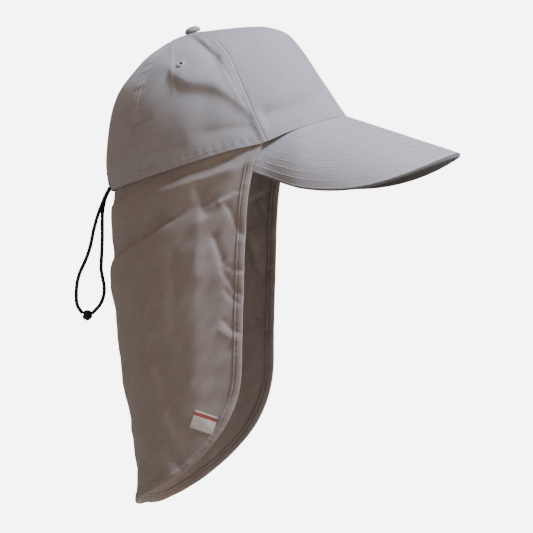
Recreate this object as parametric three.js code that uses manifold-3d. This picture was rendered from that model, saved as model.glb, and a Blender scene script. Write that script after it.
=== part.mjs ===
// Legionnaire cap. Millimetres, +Z up, the front of the cap towards -Y, the wearer's right towards -X.
// The origin is the middle of the head opening.
import * as THREE from 'three';
import Module from 'manifold-3d';
import { mergeVertices } from 'three/addons/utils/BufferGeometryUtils.js';

// Crown
const rimHalfLength = 100.5;
const rimHalfWidth = 82;
const rimTilt = 17.9;
const crownHeight = 102;
const crownWall = 1.8;
const apexLean = 2.6;
const frontSeamAngle = 64;
const backSeamAngle = 128;
const columnAngle = 8;
const seamGap = 0.3;
const tipShare = 0.97;
const hiddenSideFolds = 0.6;
const foldFade = 9;
const foldsThin = 0.75;
const foldsEnd = 0.92;
const crownRowShares = [0, 0.05, 0.12, 0.2, 0.28, 0.36, 0.43, 0.49, 0.55, 0.61, 0.68, 0.76, 0.85, tipShare];
const sideBlend = 30;

// Button and eyelets
const buttonDiameter = 13;
const buttonHeight = 5;
const buttonGap = 0.5;
const buttonSides = 16;
const eyeletDiameter = 7.6;
const eyeletHole = 3.4;
const eyeletHeight = 1.4;
const eyeletAngle = 96;
const eyeletShare = 0.535;
const eyeletGap = 0.8;
const eyeletBevel = 0.3;
const eyeletSides = 12;

// Peak
const peakLength = 98.5;
const peakSlope = 18;
const peakWall = 2.6;
const peakHalfArch = 94;
const peakCornerAngle = 78;
const peakSideReach = 63.2;
const peakSideStart = 36;
const peakRoundness = 1.79;
const peakGap = 0.3;
const peakRootGap = 0.35;
const peakUnderlap = 6;
const peakCornerInset = 6.4;
const peakTuckFront = 88;
const peakTuckBack = 42;
const peakTuckCurve = 0.7;
const peakRowShares = [0, 0.06, 0.2, 0.36, 0.52, 0.68, 0.84, 1];

// Neck flap
const flapDrop = 284.5;
const flapStraight = 167;
const flapWall = 1;
const flapTuck = 4;
const flapTuckGap = 1.3;
const flapBlend = 20;
const flapRoundness = 2.15;
const flapSkew = 3;
const flapEdgeTurn = 1.5;
const flapFoldFade = 18;
const flapEdgeSteps = 20;
const flapRows = 28;
const cornerEvenness = 0.4;
const rimLineSteps = 60;
const sectionSteps = 40;
const frontEdgeSteps = 5;
const bindingWidth = 7;
const bindingGap = 0.6;
const bindingPad = 0.4;
const bindingStart = 1;

// Label and cord
const labelWidth = 19;
const labelHeight = 15;
const labelWall = 0.8;
const labelShare = 0.79;
const labelDrop = 215;
const labelTurn = 12;
const labelGap = 0.5;
const tabWidth = 7;
const tabLow = 0.025;
const tabHigh = 0.1;
const tabWall = 1.2;
const tabGap = 0.4;
const cordDiameter = 2.6;
const cordSpacing = 3.2;
const knotWidth = 7;
const knotHeight = 8.3;
const knotBack = 116.4;
const knotDrop = 131.5;
const strandSides = 8;
const strandSegments = 22;
const strandsMeetRows = 3;
const knotSides = 12;

// Each level of the crown from the rim up to the top: its reach forward, sideways and back as shares
// of the half length and half width, and its height there as shares of the crown height.
const crownLevels = [
  { front: 1.000, side: 1.000, back: 1.000, frontUp: 0.000, sideUp: -0.015, backUp: 0.000 },
  { front: 0.950, side: 1.008, back: 0.985, frontUp: 0.155, sideUp: 0.142, backUp: 0.158 },
  { front: 0.903, side: 0.996, back: 0.938, frontUp: 0.307, sideUp: 0.294, backUp: 0.309 },
  { front: 0.858, side: 0.962, back: 0.881, frontUp: 0.460, sideUp: 0.438, backUp: 0.455 },
  { front: 0.808, side: 0.905, back: 0.809, frontUp: 0.613, sideUp: 0.576, backUp: 0.594 },
  { front: 0.739, side: 0.817, back: 0.713, frontUp: 0.757, sideUp: 0.702, backUp: 0.720 },
  { front: 0.611, side: 0.696, back: 0.592, frontUp: 0.852, sideUp: 0.810, backUp: 0.820 },
  { front: 0.459, side: 0.549, back: 0.457, frontUp: 0.905, sideUp: 0.892, backUp: 0.902 },
  { front: 0.298, side: 0.378, back: 0.309, frontUp: 0.942, sideUp: 0.948, backUp: 0.958 },
  { front: 0.137, side: 0.193, back: 0.157, frontUp: 0.974, sideUp: 0.985, backUp: 0.996 },
  { front: 0.000, side: 0.000, back: 0.000, frontUp: 1.000, sideUp: 1.000, backUp: 1.000 },
];

// Each fold pressed into the crown, seen from the side: its path forward and up from the middle of the
// rim as shares of the half length and crown height, its depth and its half width.
const crownFolds = [
  { depth: 2.6, width: 4.0, path: [[0.03, 0.95], [0.29, 0.64], [0.33, 0.39]] },
  { depth: 1.6, width: 4.0, path: [[0.03, 0.78], [0.16, 0.64]] },
  { depth: 1.6, width: 4.5, path: [[0.00, 0.95], [-0.17, 0.58]] },
  { depth: 2.8, width: 6.0, path: [[-0.15, 0.58], [0.09, 0.48], [0.25, 0.34], [0.33, 0.24]] },
  { depth: 1.5, width: 6.0, path: [[-0.02, 0.15], [0.38, 0.10]] },
  { depth: 2.2, width: 13.0, path: [[-0.47, 0.41], [-0.44, 0.34]] },
  { depth: -1.8, width: 8.0, path: [[-0.20, 0.70], [0.10, 0.60], [0.27, 0.48]] },
];

// Each level of the neck flap from the rim down: its height below the middle of the rim as a share of
// the drop, its reach back and at the front edge as shares of the half length, its half width as a
// share of the rim's, and how square its back corners are, where 2 is an ellipse.
const flapLevels = [
  { down: -0.050, back: 0.937, front: 0.360, side: 0.970, square: 2.0 },
  { down: 0.056, back: 0.937, front: 0.317, side: 0.980, square: 2.0 },
  { down: 0.130, back: 0.941, front: 0.286, side: 0.995, square: 2.1 },
  { down: 0.228, back: 0.948, front: 0.269, side: 1.010, square: 2.2 },
  { down: 0.334, back: 0.948, front: 0.260, side: 1.020, square: 2.3 },
  { down: 0.446, back: 0.912, front: 0.250, side: 1.025, square: 2.4 },
  { down: 0.552, back: 0.876, front: 0.244, side: 1.025, square: 2.5 },
  { down: 0.643, back: 0.833, front: 0.244, side: 1.025, square: 2.6 },
  { down: 0.759, back: 0.776, front: 0.244, side: 1.025, square: 2.8 },
  { down: 0.872, back: 0.736, front: 0.244, side: 1.025, square: 2.9 },
  { down: 1.000, back: 0.706, front: 0.244, side: 1.025, square: 3.0 },
];

// Each fold of the neck flap, seen from the side: its path as forward and down shares of the half
// length and drop, its depth and half width. A depth below nought is a bulge.
const flapFolds = [
  {
    depth: 3.6,
    width: 6.0,
    path: [[-0.97, 0.30], [-0.67, 0.26], [-0.36, 0.194], [-0.13, 0.16], [0.21, 0.106]],
  },
  { depth: -2.6, width: 11.0, path: [[-0.80, 0.20], [-0.40, 0.13], [-0.02, 0.09]] },
  { depth: 3.0, width: 7.0, path: [[-0.44, 0.06], [-0.90, 0.175]] },
  { depth: 1.6, width: 7.0, path: [[-0.48, 0.11], [0.10, 0.02]] },
  { depth: 1.5, width: 12.0, path: [[-0.40, 0.57], [-0.39, 0.73]] },
  { depth: 1.5, width: 12.0, path: [[-0.72, 0.62], [-0.70, 0.88]] },
  { depth: -1.6, width: 16.0, path: [[-0.10, 0.36], [-0.15, 0.62]] },
];

// The two strands of the cord as seen from the side: back from the middle of the rim and down from it.
const outerStrandPath = [
  [98.6, 29.0], [101.0, 34.1], [103.6, 40.3], [107.1, 49.0], [110.7, 61.3], [113.7, 75.3],
  [117.7, 86.8], [122.2, 96.4], [124.8, 106.1], [125.4, 117.5], [124.3, 124.0], [121.0, 129.6],
];
const innerStrandPath = [
  [98.6, 29.0], [101.7, 35.9], [104.0, 46.4], [104.4, 54.3], [104.4, 66.6], [104.8, 79.8],
  [105.4, 92.9], [104.4, 99.9], [103.0, 107.0], [103.1, 114.9], [106.2, 122.9], [112.1, 129.7],
];

const crownColour = 0x9c9695;
const frontColour = 0xb4b3c0;
const flapColour = 0x82776f;
const bindingColour = 0x8a7e77;
const eyeletColour = 0xd9cfc2;
const labelColour = 0xe8dcc8;
const cordColour = 0x17171a;

const normalStep = 0.002;
const radians = THREE.MathUtils.degToRad;
const smooth = THREE.MathUtils.smoothstep;
const mix = THREE.MathUtils.lerp;

// A point given as forward, sideways and up, in the cap's own axes.
function place(forward, sideways, up) {
  return new THREE.Vector3(sideways, -forward, up);
}

// A point given in the axes of the tilted rim.
function placeOnRim(forward, sideways, up) {
  const tilt = radians(rimTilt);
  const level = forward * Math.cos(tilt) - up * Math.sin(tilt);
  return place(level, sideways, forward * Math.sin(tilt) + up * Math.cos(tilt));
}

// Smooth value between the rows of a table, where position counts in rows.
function between(values, position) {
  const last = values.length - 1;
  const row = Math.min(Math.max(Math.floor(position), 0), last - 1);
  const share = position - row;
  const before = values[Math.max(row - 1, 0)];
  const after = values[Math.min(row + 2, last)];
  const startSlope = (values[row + 1] - before) / 2;
  const endSlope = (after - values[row]) / 2;
  const rise = values[row + 1] - values[row];
  const bend = 3 * rise - 2 * startSlope - endSlope;
  const turn = startSlope + endSlope - 2 * rise;
  return values[row] + share * (startSlope + share * (bend + share * turn));
}

// How far folds push a point inwards: each is a soft groove along its path.
function foldDepth(folds, forward, height) {
  let depth = 0;
  for (const fold of folds) {
    let nearest = Infinity;
    for (let leg = 0; leg < fold.path.length - 1; leg += 1) {
      const [startForward, startHeight] = fold.path[leg];
      const [endForward, endHeight] = fold.path[leg + 1];
      const legForward = endForward - startForward;
      const legHeight = endHeight - startHeight;
      const along = (forward - startForward) * legForward + (height - startHeight) * legHeight;
      const share = THREE.MathUtils.clamp(along / (legForward ** 2 + legHeight ** 2), 0, 1);
      const offForward = forward - startForward - share * legForward;
      const offHeight = height - startHeight - share * legHeight;
      nearest = Math.min(nearest, Math.hypot(offForward, offHeight));
    }
    depth += fold.depth * Math.exp(-((nearest / fold.width) ** 2));
  }
  return depth;
}

// The folds of a table with their paths turned from shares into millimetres.
function sizedFolds(folds, forwardSize, heightSize) {
  return folds.map(fold => ({
    depth: fold.depth,
    width: fold.width,
    path: fold.path.map(([forward, height]) => [forward * forwardSize, height * heightSize]),
  }));
}

const sizedCrownFolds = sizedFolds(crownFolds, rimHalfLength, crownHeight);
const sizedFlapFolds = sizedFolds(flapFolds, rimHalfLength, flapDrop);

// The folds of the side that the photo hides are shallower.
function sideStrength(sideways) {
  return mix(1, hiddenSideFolds, smooth(sideways, -sideBlend, sideBlend));
}

// A point of the crown's outer face at an angle round from the front and a share of the way up.
function crownPoint(angle, share) {
  const turn = radians(angle);
  const row = share * (crownLevels.length - 1);
  const ahead = Math.cos(turn) >= 0;
  const along = between(crownLevels.map(level => (ahead ? level.front : level.back)), row);
  const across = between(crownLevels.map(level => level.side), row);
  const endUp = between(crownLevels.map(level => (ahead ? level.frontUp : level.backUp)), row);
  const sideUp = between(crownLevels.map(level => level.sideUp), row);
  const forward = rimHalfLength * along * Math.cos(turn) + apexLean * share;
  const sideways = rimHalfWidth * across * Math.sin(turn);
  const height = crownHeight * mix(endUp, sideUp, Math.sin(turn) ** 2);
  const behindSeam = radians(Math.abs(angle) - frontSeamAngle) * Math.hypot(forward, sideways);
  const onSoftPanels = smooth(behindSeam, 0, foldFade) * (1 - smooth(share, foldsThin, foldsEnd));
  const dent = foldDepth(sizedCrownFolds, forward, height) * onSoftPanels * sideStrength(sideways);
  const shrink = 1 - dent / Math.hypot(forward, sideways, height);
  const lowered = 1 - dent * share / crownHeight;
  return placeOnRim(forward * shrink, sideways * shrink, height * lowered);
}

// The outward normal of a surface of two parameters, from small steps either way.
function surfaceNormal(point, across, along, step) {
  const byAcross = point(across + step, along).sub(point(across - step, along));
  const byAlong = point(across, along + step).sub(point(across, along - step));
  return byAcross.cross(byAlong).normalize();
}

// A point moved off a surface along its normal, outwards for a positive distance.
function raised(point, across, along, distance) {
  const normal = surfaceNormal(point, across, along, normalStep);
  return point(across, along).addScaledVector(normal, distance);
}

function solidFrom(positions, triangles) {
  const geometry = new THREE.BufferGeometry();
  const flat = positions.flatMap(position => [position.x, position.y, position.z]);
  geometry.setAttribute('position', new THREE.Float32BufferAttribute(flat, 3));
  geometry.setIndex(triangles);
  return geometry;
}

// A sheet of cloth: an outer face on a grid, an inner face one wall behind it, and its cut edges.
function sheetSolid(outerFace, innerFace, columns, rows) {
  const positions = [];
  for (const face of [outerFace, innerFace]) {
    for (let row = 0; row < rows; row += 1) {
      for (let column = 0; column < columns; column += 1) {
        positions.push(face(column, row));
      }
    }
  }
  const innerStart = columns * rows;
  const at = (column, row) => row * columns + column;
  const triangles = [];
  for (let row = 0; row < rows - 1; row += 1) {
    for (let column = 0; column < columns - 1; column += 1) {
      const a = at(column, row);
      const b = at(column + 1, row);
      const c = at(column + 1, row + 1);
      const d = at(column, row + 1);
      triangles.push(a, b, c, a, c, d);
      triangles.push(innerStart + a, innerStart + c, innerStart + b);
      triangles.push(innerStart + a, innerStart + d, innerStart + c);
    }
  }
  const edge = [];
  for (let column = 0; column < columns - 1; column += 1) edge.push(at(column, 0));
  for (let row = 0; row < rows - 1; row += 1) edge.push(at(columns - 1, row));
  for (let column = columns - 1; column > 0; column -= 1) edge.push(at(column, rows - 1));
  for (let row = rows - 1; row > 0; row -= 1) edge.push(at(0, row));
  edge.forEach((start, index) => {
    const end = edge[(index + 1) % edge.length];
    triangles.push(end, start, innerStart + start, end, innerStart + start, innerStart + end);
  });
  return solidFrom(positions, triangles);
}

// A sheet whose faces lie at two heights off one surface.
function sheetOnSurface(point, acrossList, alongList, outerHeight, innerHeight) {
  const face = height => (column, row) => {
    const along = alongList[row];
    const across = typeof acrossList === 'function' ? acrossList(along)[column] : acrossList[column];
    return raised(point, across, along, height);
  };
  const columns = typeof acrossList === 'function' ? acrossList(alongList[0]).length : acrossList.length;
  return sheetSolid(face(outerHeight), face(innerHeight), columns, alongList.length);
}

// Rings of points joined into a bar, closed with a flat cap at each end.
function barSolid(rings) {
  const size = rings[0].length;
  const positions = rings.flat();
  const triangles = [];
  for (let ring = 0; ring < rings.length - 1; ring += 1) {
    for (let side = 0; side < size; side += 1) {
      const a = ring * size + side;
      const b = ring * size + (side + 1) % size;
      triangles.push(a, b, b + size, a, b + size, a + size);
    }
  }
  const lastStart = (rings.length - 1) * size;
  for (let side = 1; side < size - 1; side += 1) {
    triangles.push(0, side + 1, side);
    triangles.push(lastStart, lastStart + side, lastStart + side + 1);
  }
  return solidFrom(positions, triangles);
}

// A round bar along a path.
function cordSolid(points, diameter, sides, segments) {
  const curve = new THREE.CatmullRomCurve3(points, false, 'centripetal');
  const rings = [];
  for (let index = 0; index <= segments; index += 1) {
    const centre = curve.getPointAt(index / segments);
    const tangent = curve.getTangentAt(index / segments);
    const sideways = new THREE.Vector3(1, 0, 0).addScaledVector(tangent, -tangent.x).normalize();
    const across = tangent.clone().cross(sideways);
    const ring = [];
    for (let side = 0; side < sides; side += 1) {
      const turn = 2 * Math.PI * side / sides;
      const spot = centre.clone().addScaledVector(sideways, Math.cos(turn) * diameter / 2);
      ring.push(spot.addScaledVector(across, Math.sin(turn) * diameter / 2));
    }
    rings.push(ring);
  }
  return barSolid(rings);
}

// A profile of radius and height turned about an upright axis. A ring's profile closes on itself.
function turnedSolid(profile, sides, isRing) {
  const positions = [];
  const triangles = [];
  const last = profile.length - 1;
  const inner = isRing ? profile : profile.slice(1, last);
  for (let side = 0; side < sides; side += 1) {
    const turn = 2 * Math.PI * side / sides;
    for (const [radius, height] of inner) {
      positions.push(new THREE.Vector3(radius * Math.cos(turn), radius * Math.sin(turn), height));
    }
  }
  const size = inner.length;
  const steps = isRing ? size : size - 1;
  for (let side = 0; side < sides; side += 1) {
    const here = side * size;
    const next = ((side + 1) % sides) * size;
    for (let step = 0; step < steps; step += 1) {
      const after = (step + 1) % size;
      triangles.push(here + step, next + step, next + after, here + step, next + after, here + after);
    }
  }
  if (!isRing) {
    const bottom = positions.push(new THREE.Vector3(0, 0, profile[0][1])) - 1;
    const top = positions.push(new THREE.Vector3(0, 0, profile[last][1])) - 1;
    for (let side = 0; side < sides; side += 1) {
      const here = side * size;
      const next = ((side + 1) % sides) * size;
      triangles.push(bottom, next, here, top, here + size - 1, next + size - 1);
    }
  }
  return solidFrom(positions, triangles);
}

// Turn a solid made about an upright axis so that the axis points along a direction, and move it.
function seated(geometry, spot, direction) {
  const up = new THREE.Vector3(0, 0, 1);
  geometry.applyQuaternion(new THREE.Quaternion().setFromUnitVectors(up, direction));
  geometry.translate(spot.x, spot.y, spot.z);
  return geometry;
}

function evenSteps(start, end, steps) {
  return Array.from({ length: steps + 1 }, (_, index) => mix(start, end, index / steps));
}

const group = new THREE.Group();
group.name = 'legionnaire_cap';

function addPiece(name, geometry, colour) {
  const piece = new THREE.Mesh(geometry, new THREE.MeshStandardMaterial({ color: colour }));
  piece.name = name;
  group.add(piece);
}

// Crown panels: each runs between two seams, from the rim to its tip under the button.
// Its columns stop half a seam gap short of each seam, at every height.
const crownTop = placeOnRim(apexLean, 0, crownHeight);

function panelColumns(firstSeam, lastSeam, columns) {
  return share => {
    const middle = crownPoint((firstSeam + lastSeam) / 2, share);
    const reach = middle.sub(crownTop).setZ(0).length();
    const trim = THREE.MathUtils.radToDeg(seamGap / 2 / reach);
    return evenSteps(firstSeam + trim, lastSeam - trim, columns);
  };
}

function panel(firstSeam, lastSeam) {
  const columns = Math.ceil((lastSeam - firstSeam) / columnAngle);
  const columnList = panelColumns(firstSeam, lastSeam, columns);
  return sheetOnSurface(crownPoint, columnList, crownRowShares, 0, -crownWall);
}

const wasm = await Module();
wasm.setup();

function asManifold(geometry) {
  const plain = new THREE.BufferGeometry();
  plain.setAttribute('position', geometry.getAttribute('position'));
  plain.setIndex(geometry.getIndex());
  const merged = mergeVertices(plain);
  const vertProperties = new Float32Array(merged.getAttribute('position').array);
  const triVerts = new Uint32Array(merged.getIndex().array);
  return new wasm.Manifold(new wasm.Mesh({ numProp: 3, vertProperties, triVerts }));
}

function cutFrom(solid, tool) {
  const mesh = asManifold(solid).subtract(asManifold(tool)).getMesh();
  const geometry = new THREE.BufferGeometry();
  geometry.setAttribute('position', new THREE.BufferAttribute(new Float32Array(mesh.vertProperties), 3));
  geometry.setIndex(new THREE.BufferAttribute(new Uint32Array(mesh.triVerts), 1));
  return geometry;
}

function eyeletSpot(side) {
  return {
    spot: crownPoint(side * eyeletAngle, eyeletShare),
    direction: surfaceNormal(crownPoint, side * eyeletAngle, eyeletShare, normalStep),
  };
}

function sidePanel(side) {
  const seams = [side * frontSeamAngle, side * backSeamAngle].sort((a, b) => a - b);
  const { spot, direction } = eyeletSpot(side);
  const depth = 3 * crownWall;
  const hole = [[0, -depth], [eyeletHole / 2, -depth], [eyeletHole / 2, depth], [0, depth]];
  return cutFrom(panel(seams[0], seams[1]), seated(turnedSolid(hole, eyeletSides, false), spot, direction));
}

addPiece('front_panel', panel(-frontSeamAngle, frontSeamAngle), frontColour);
addPiece('side_panel_right', sidePanel(-1), crownColour);
addPiece('side_panel_left', sidePanel(1), crownColour);
addPiece('back_panel_right', panel(-180, -backSeamAngle), crownColour);
addPiece('back_panel_left', panel(backSeamAngle, 180), crownColour);

// Button: a low dome over the panel tips.
const buttonRadius = buttonDiameter / 2;
const buttonProfile = [[0, 0], [0.8, 0], [1, 0.2], [0.95, 0.5], [0.72, 0.82], [0.38, 0.97], [0, 1]]
  .map(([radius, height]) => [radius * buttonRadius, height * buttonHeight]);
const topDirection = placeOnRim(0, 0, 1);
const buttonSpot = crownTop.clone().addScaledVector(topDirection, buttonGap);
const button = turnedSolid(buttonProfile, buttonSides, false);
addPiece('button', seated(button, buttonSpot, topDirection), frontColour);

// Eyelets: a sewn ring round each air hole.
const eyeletRadius = eyeletDiameter / 2;
const holeRadius = eyeletHole / 2;
const eyeletProfile = [
  [holeRadius, 0], [eyeletRadius, 0], [eyeletRadius - eyeletBevel, eyeletHeight * 0.6],
  [(eyeletRadius + holeRadius) / 2, eyeletHeight], [holeRadius + eyeletBevel, eyeletHeight * 0.6],
];
for (const [name, side] of [['eyelet_right', -1], ['eyelet_left', 1]]) {
  const { spot, direction } = eyeletSpot(side);
  spot.addScaledVector(direction, eyeletGap);
  addPiece(name, seated(turnedSolid(eyeletProfile, eyeletSides, true), spot, direction), eyeletColour);
}

// Peak: part of a cylinder that runs forward and down from the rim, so its arch is the rim's own.
const slope = radians(peakSlope);
const rimSlope = radians(rimTilt + peakSlope);

function peakArch(angle) {
  const turn = radians(angle);
  const droop = crownHeight * crownLevels[0].sideUp * Math.sin(turn) ** 2;
  const forward = rimHalfLength * Math.cos(turn);
  return {
    sideways: rimHalfWidth * Math.sin(turn),
    rise: forward * Math.sin(rimSlope) + droop * Math.cos(rimSlope),
    reach: forward * Math.cos(rimSlope) - droop * Math.sin(rimSlope),
  };
}

// How far the peak lies inside the rim's arch: it slips inside the crown and the flap at its corners.
function peakInset(forward) {
  return mix(peakCornerInset, peakGap, smooth(forward, peakTuckBack, peakTuckFront));
}

// The reach of the root: along the rim in front, tucked up inside the crown beside it, cut off behind.
function peakRoot(angle) {
  const size = Math.abs(angle);
  const arch = peakArch(Math.min(size, peakCornerAngle));
  const inset = peakInset(arch.reach * Math.cos(slope) + arch.rise * Math.sin(slope));
  const underlap = peakUnderlap * smooth(inset, crownWall + 2 * peakGap, peakCornerInset);
  if (size <= peakCornerAngle) return arch.reach + peakRootGap - underlap;
  const corner = arch.reach + peakRootGap - underlap;
  const share = (size - peakCornerAngle) / (peakHalfArch - peakCornerAngle);
  return mix(corner, peakSideStart, share ** peakTuckCurve);
}

function peakEdge(angle) {
  const tip = peakArch(0).reach + peakLength;
  const share = Math.min(Math.abs(angle) / peakHalfArch, 1);
  return mix(peakSideReach, tip, (1 - share ** peakRoundness) ** (1 / peakRoundness));
}

// A point of the peak's upper face: share 0 is its free edge and share 1 its root.
function peakPoint(angle, share) {
  const arch = peakArch(angle);
  const reach = mix(peakEdge(angle), peakRoot(angle), share);
  const turn = radians(angle);
  const normalSideways = Math.sin(turn) / rimHalfWidth;
  const normalRise = Math.cos(turn) / (rimHalfLength * Math.sin(rimSlope));
  const normalSize = Math.hypot(normalSideways, normalRise);
  const inset = peakInset(reach * Math.cos(slope) + arch.rise * Math.sin(slope));
  const sideways = arch.sideways - inset * normalSideways / normalSize;
  const rise = arch.rise - inset * normalRise / normalSize;
  const forward = reach * Math.cos(slope) + rise * Math.sin(slope);
  return place(forward, sideways, rise * Math.cos(slope) - reach * Math.sin(slope));
}

const wholeColumns = Math.ceil(peakHalfArch / columnAngle) - 1;
const peakColumns = [
  -peakHalfArch,
  ...evenSteps(-wholeColumns * columnAngle, wholeColumns * columnAngle, 2 * wholeColumns),
  peakHalfArch,
];
addPiece('peak', sheetOnSurface(peakPoint, peakColumns, peakRowShares, 0, -peakWall), frontColour);

// Neck flap: level sections that leave the rim and hang down.
const flapInset = crownWall + flapTuckGap;

// A point a share of the way along a line of points, by length.
function alongLine(points, share) {
  const lengths = [0];
  for (let index = 1; index < points.length; index += 1) {
    const [forward, sideways] = points[index];
    const [lastForward, lastSideways] = points[index - 1];
    lengths.push(lengths[index - 1] + Math.hypot(forward - lastForward, sideways - lastSideways));
  }
  const wanted = share * lengths[lengths.length - 1];
  let index = 1;
  while (index < lengths.length - 1 && lengths[index] < wanted) index += 1;
  const part = (wanted - lengths[index - 1]) / (lengths[index] - lengths[index - 1]);
  const forward = mix(points[index - 1][0], points[index][0], part);
  const sideways = mix(points[index - 1][1], points[index][1], part);
  return { forward, sideways, length: lengths[lengths.length - 1] };
}

const rimLine = evenSteps(180, frontSeamAngle, rimLineSteps).map(angle => {
  const turn = radians(angle);
  const reach = (rimHalfLength - flapInset) * Math.cos(turn);
  return [reach * Math.cos(radians(rimTilt)), (rimHalfWidth - flapInset) * Math.sin(turn)];
});

function flapSection(down) {
  const downs = flapLevels.map(level => level.down * flapDrop);
  let row = 0;
  while (row < downs.length - 2 && downs[row + 1] < down) row += 1;
  const share = THREE.MathUtils.clamp((down - downs[row]) / (downs[row + 1] - downs[row]), 0, 1);
  const value = key => between(flapLevels.map(level => level[key]), row + share);
  const back = value('back') * rimHalfLength;
  const front = value('front') * rimHalfLength;
  const half = value('side') * rimHalfWidth;
  const power = 2 / value('square');
  const line = evenSteps(0, 90, sectionSteps).map(angle => {
    const turn = radians(angle);
    return [-back * Math.abs(Math.cos(turn)) ** power, half * Math.sin(turn) ** power];
  });
  for (const part of evenSteps(0, 1, frontEdgeSteps).slice(1)) {
    line.push([front * part, half - flapEdgeTurn * part ** 2]);
  }
  return line;
}

// The height of the rim above the rim's middle, at a share of the way from the back to the front edge.
function rimHeight(share) {
  const spot = alongLine(rimLine, Math.abs(share));
  const droop = crownHeight * crownLevels[0].sideUp * (spot.sideways / rimHalfWidth) ** 2;
  return spot.forward * Math.tan(radians(rimTilt)) + droop * Math.cos(radians(rimTilt));
}

// A point of the flap's outer face: share runs from -1 at the right front edge to 1 at the left one.
function flapPoint(share, height) {
  const side = Math.sign(share) || 1;
  const size = Math.min(Math.abs(share), 1);
  const below = rimHeight(size) - height;
  const rim = alongLine(rimLine, size);
  const hang = alongLine(flapSection(-height), size);
  const blend = smooth(below, 0, flapBlend);
  const tucked = Math.max(-below, 0) * Math.tan(radians(rimTilt));
  const forward = mix(rim.forward, hang.forward, blend) - tucked;
  const sideways = mix(rim.sideways, hang.sideways, blend);
  const fade = smooth(below, 0, flapFoldFade);
  const dent = foldDepth(sizedFlapFolds, forward, -height) * fade * sideStrength(side * sideways);
  const outForward = Math.min(forward, 0) / rimHalfLength;
  const outSideways = sideways / rimHalfWidth;
  const outSize = Math.hypot(outForward, outSideways);
  const movedForward = forward - dent * outForward / outSize;
  return place(movedForward, side * (sideways - dent * outSideways / outSize), height);
}

function flapHalfLength(height) {
  const blend = smooth(rimHeight(1) - height, 0, flapBlend);
  return mix(alongLine(rimLine, 1).length, alongLine(flapSection(-height), 1).length, blend);
}

// The free edge of the flap, drawn in by an inset: down the straight front edge, then round to the back.
function cornerShares(step) {
  const even = step / flapEdgeSteps;
  return 1 - mix(1 - Math.cos(even * Math.PI / 2), even, cornerEvenness);
}

function lowerEdge(step, inset) {
  const edgeShare = 1 - inset / flapHalfLength(-flapStraight);
  const share = cornerShares(step);
  const drop = (1 - share ** flapRoundness) ** (1 / flapRoundness);
  return { share: edgeShare * share, height: -flapStraight - (flapDrop - flapStraight - inset) * drop };
}

function skewed(share, height) {
  return height - flapSkew * share * smooth(-height, flapStraight / 2, flapDrop);
}

const flapColumnSteps = [];
for (let step = 0; step <= flapEdgeSteps; step += 1) flapColumnSteps.push({ step, side: -1 });
for (let step = flapEdgeSteps - 1; step >= 0; step -= 1) flapColumnSteps.push({ step, side: 1 });
const clothInset = bindingWidth + bindingGap;
const flapRowShares = evenSteps(0, 1, flapRows);

function flapGrid(lift) {
  return (column, row) => {
    const { step, side } = flapColumnSteps[column];
    const edge = lowerEdge(step, clothInset);
    const top = rimHeight(edge.share) + flapTuck;
    const height = mix(top, edge.height, flapRowShares[row]);
    const inset = step === 0 ? 1 - clothInset / flapHalfLength(height) : edge.share;
    const share = side * inset;
    return raised((across, along) => flapPoint(across, -along), share, -skewed(share, height), lift);
  };
}

const flapCloth = sheetSolid(flapGrid(0), flapGrid(-flapWall), flapColumnSteps.length, flapRowShares.length);
addPiece('neck_flap', flapCloth, flapColour);

// Binding: a band all along the flap's free edge, a little thicker than the cloth.
const bandProfile = [
  [0, -flapWall / 2], [bindingPad, bindingPad], [bindingWidth, bindingPad],
  [bindingWidth, -flapWall - bindingPad], [bindingPad, -flapWall - bindingPad],
];
const bindingTop = rimHeight(1) - bindingStart;
const frontEdgeHeights = flapRowShares
  .map(share => mix(rimHeight(1) + flapTuck, -flapStraight, share))
  .filter(height => height < bindingTop - bindingStart && height > -flapStraight);
frontEdgeHeights.unshift(bindingTop);
const bindingStations = [
  ...frontEdgeHeights.map(height => ({ side: -1, height })),
  ...flapColumnSteps,
  ...frontEdgeHeights.toReversed().map(height => ({ side: 1, height })),
];

const bindingRings = bindingStations.map(({ side, step, height }) => bandProfile.map(([inset, lift]) => {
  const onFront = step === undefined;
  const edge = onFront ? { share: 1 - inset / flapHalfLength(height), height } : lowerEdge(step, inset);
  const share = side * edge.share;
  return raised((across, along) => flapPoint(across, -along), share, -skewed(share, edge.height), lift);
}));
addPiece('flap_binding', barSolid(bindingRings), bindingColour);

// Label: a small bare patch just inside the binding on the wearer's right. Across runs backwards.
function labelPoint(across, along) {
  const turn = radians(labelTurn);
  const backward = across * Math.cos(turn) + along * Math.sin(turn);
  const down = along * Math.cos(turn) - across * Math.sin(turn);
  const height = -labelDrop - down;
  return flapPoint(-labelShare + backward / flapHalfLength(height), height);
}

const labelColumns = evenSteps(-labelWidth / 2, labelWidth / 2, 3);
const labelRows = evenSteps(-labelHeight / 2, labelHeight / 2, 2);
const labelCloth = sheetOnSurface(labelPoint, labelColumns, labelRows, labelGap + labelWall, labelGap);
addPiece('label', labelCloth, labelColour);

// Tab over the back seam, with the two cord strands below it and the knot where they meet.
const tabHalfAngle = THREE.MathUtils.radToDeg(tabWidth / 2 / rimHalfWidth);
const tabColumns = evenSteps(180 - tabHalfAngle, 180 + tabHalfAngle, 2);
const tabRows = evenSteps(tabLow, tabHigh, 3);
addPiece('cord_tab', sheetOnSurface(crownPoint, tabColumns, tabRows, tabGap + tabWall, tabGap), cordColour);

function strand(path, side) {
  const points = path.map(([back, down], index) => {
    const apart = 1 - 0.5 * smooth(index, path.length - 1 - strandsMeetRows, path.length - 1);
    return place(-back, side * cordSpacing / 2 * apart, -down);
  });
  return cordSolid(points, cordDiameter, strandSides, strandSegments);
}

addPiece('cord_strand_outer', strand(outerStrandPath, -1), cordColour);
addPiece('cord_strand_inner', strand(innerStrandPath, 1), cordColour);

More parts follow.
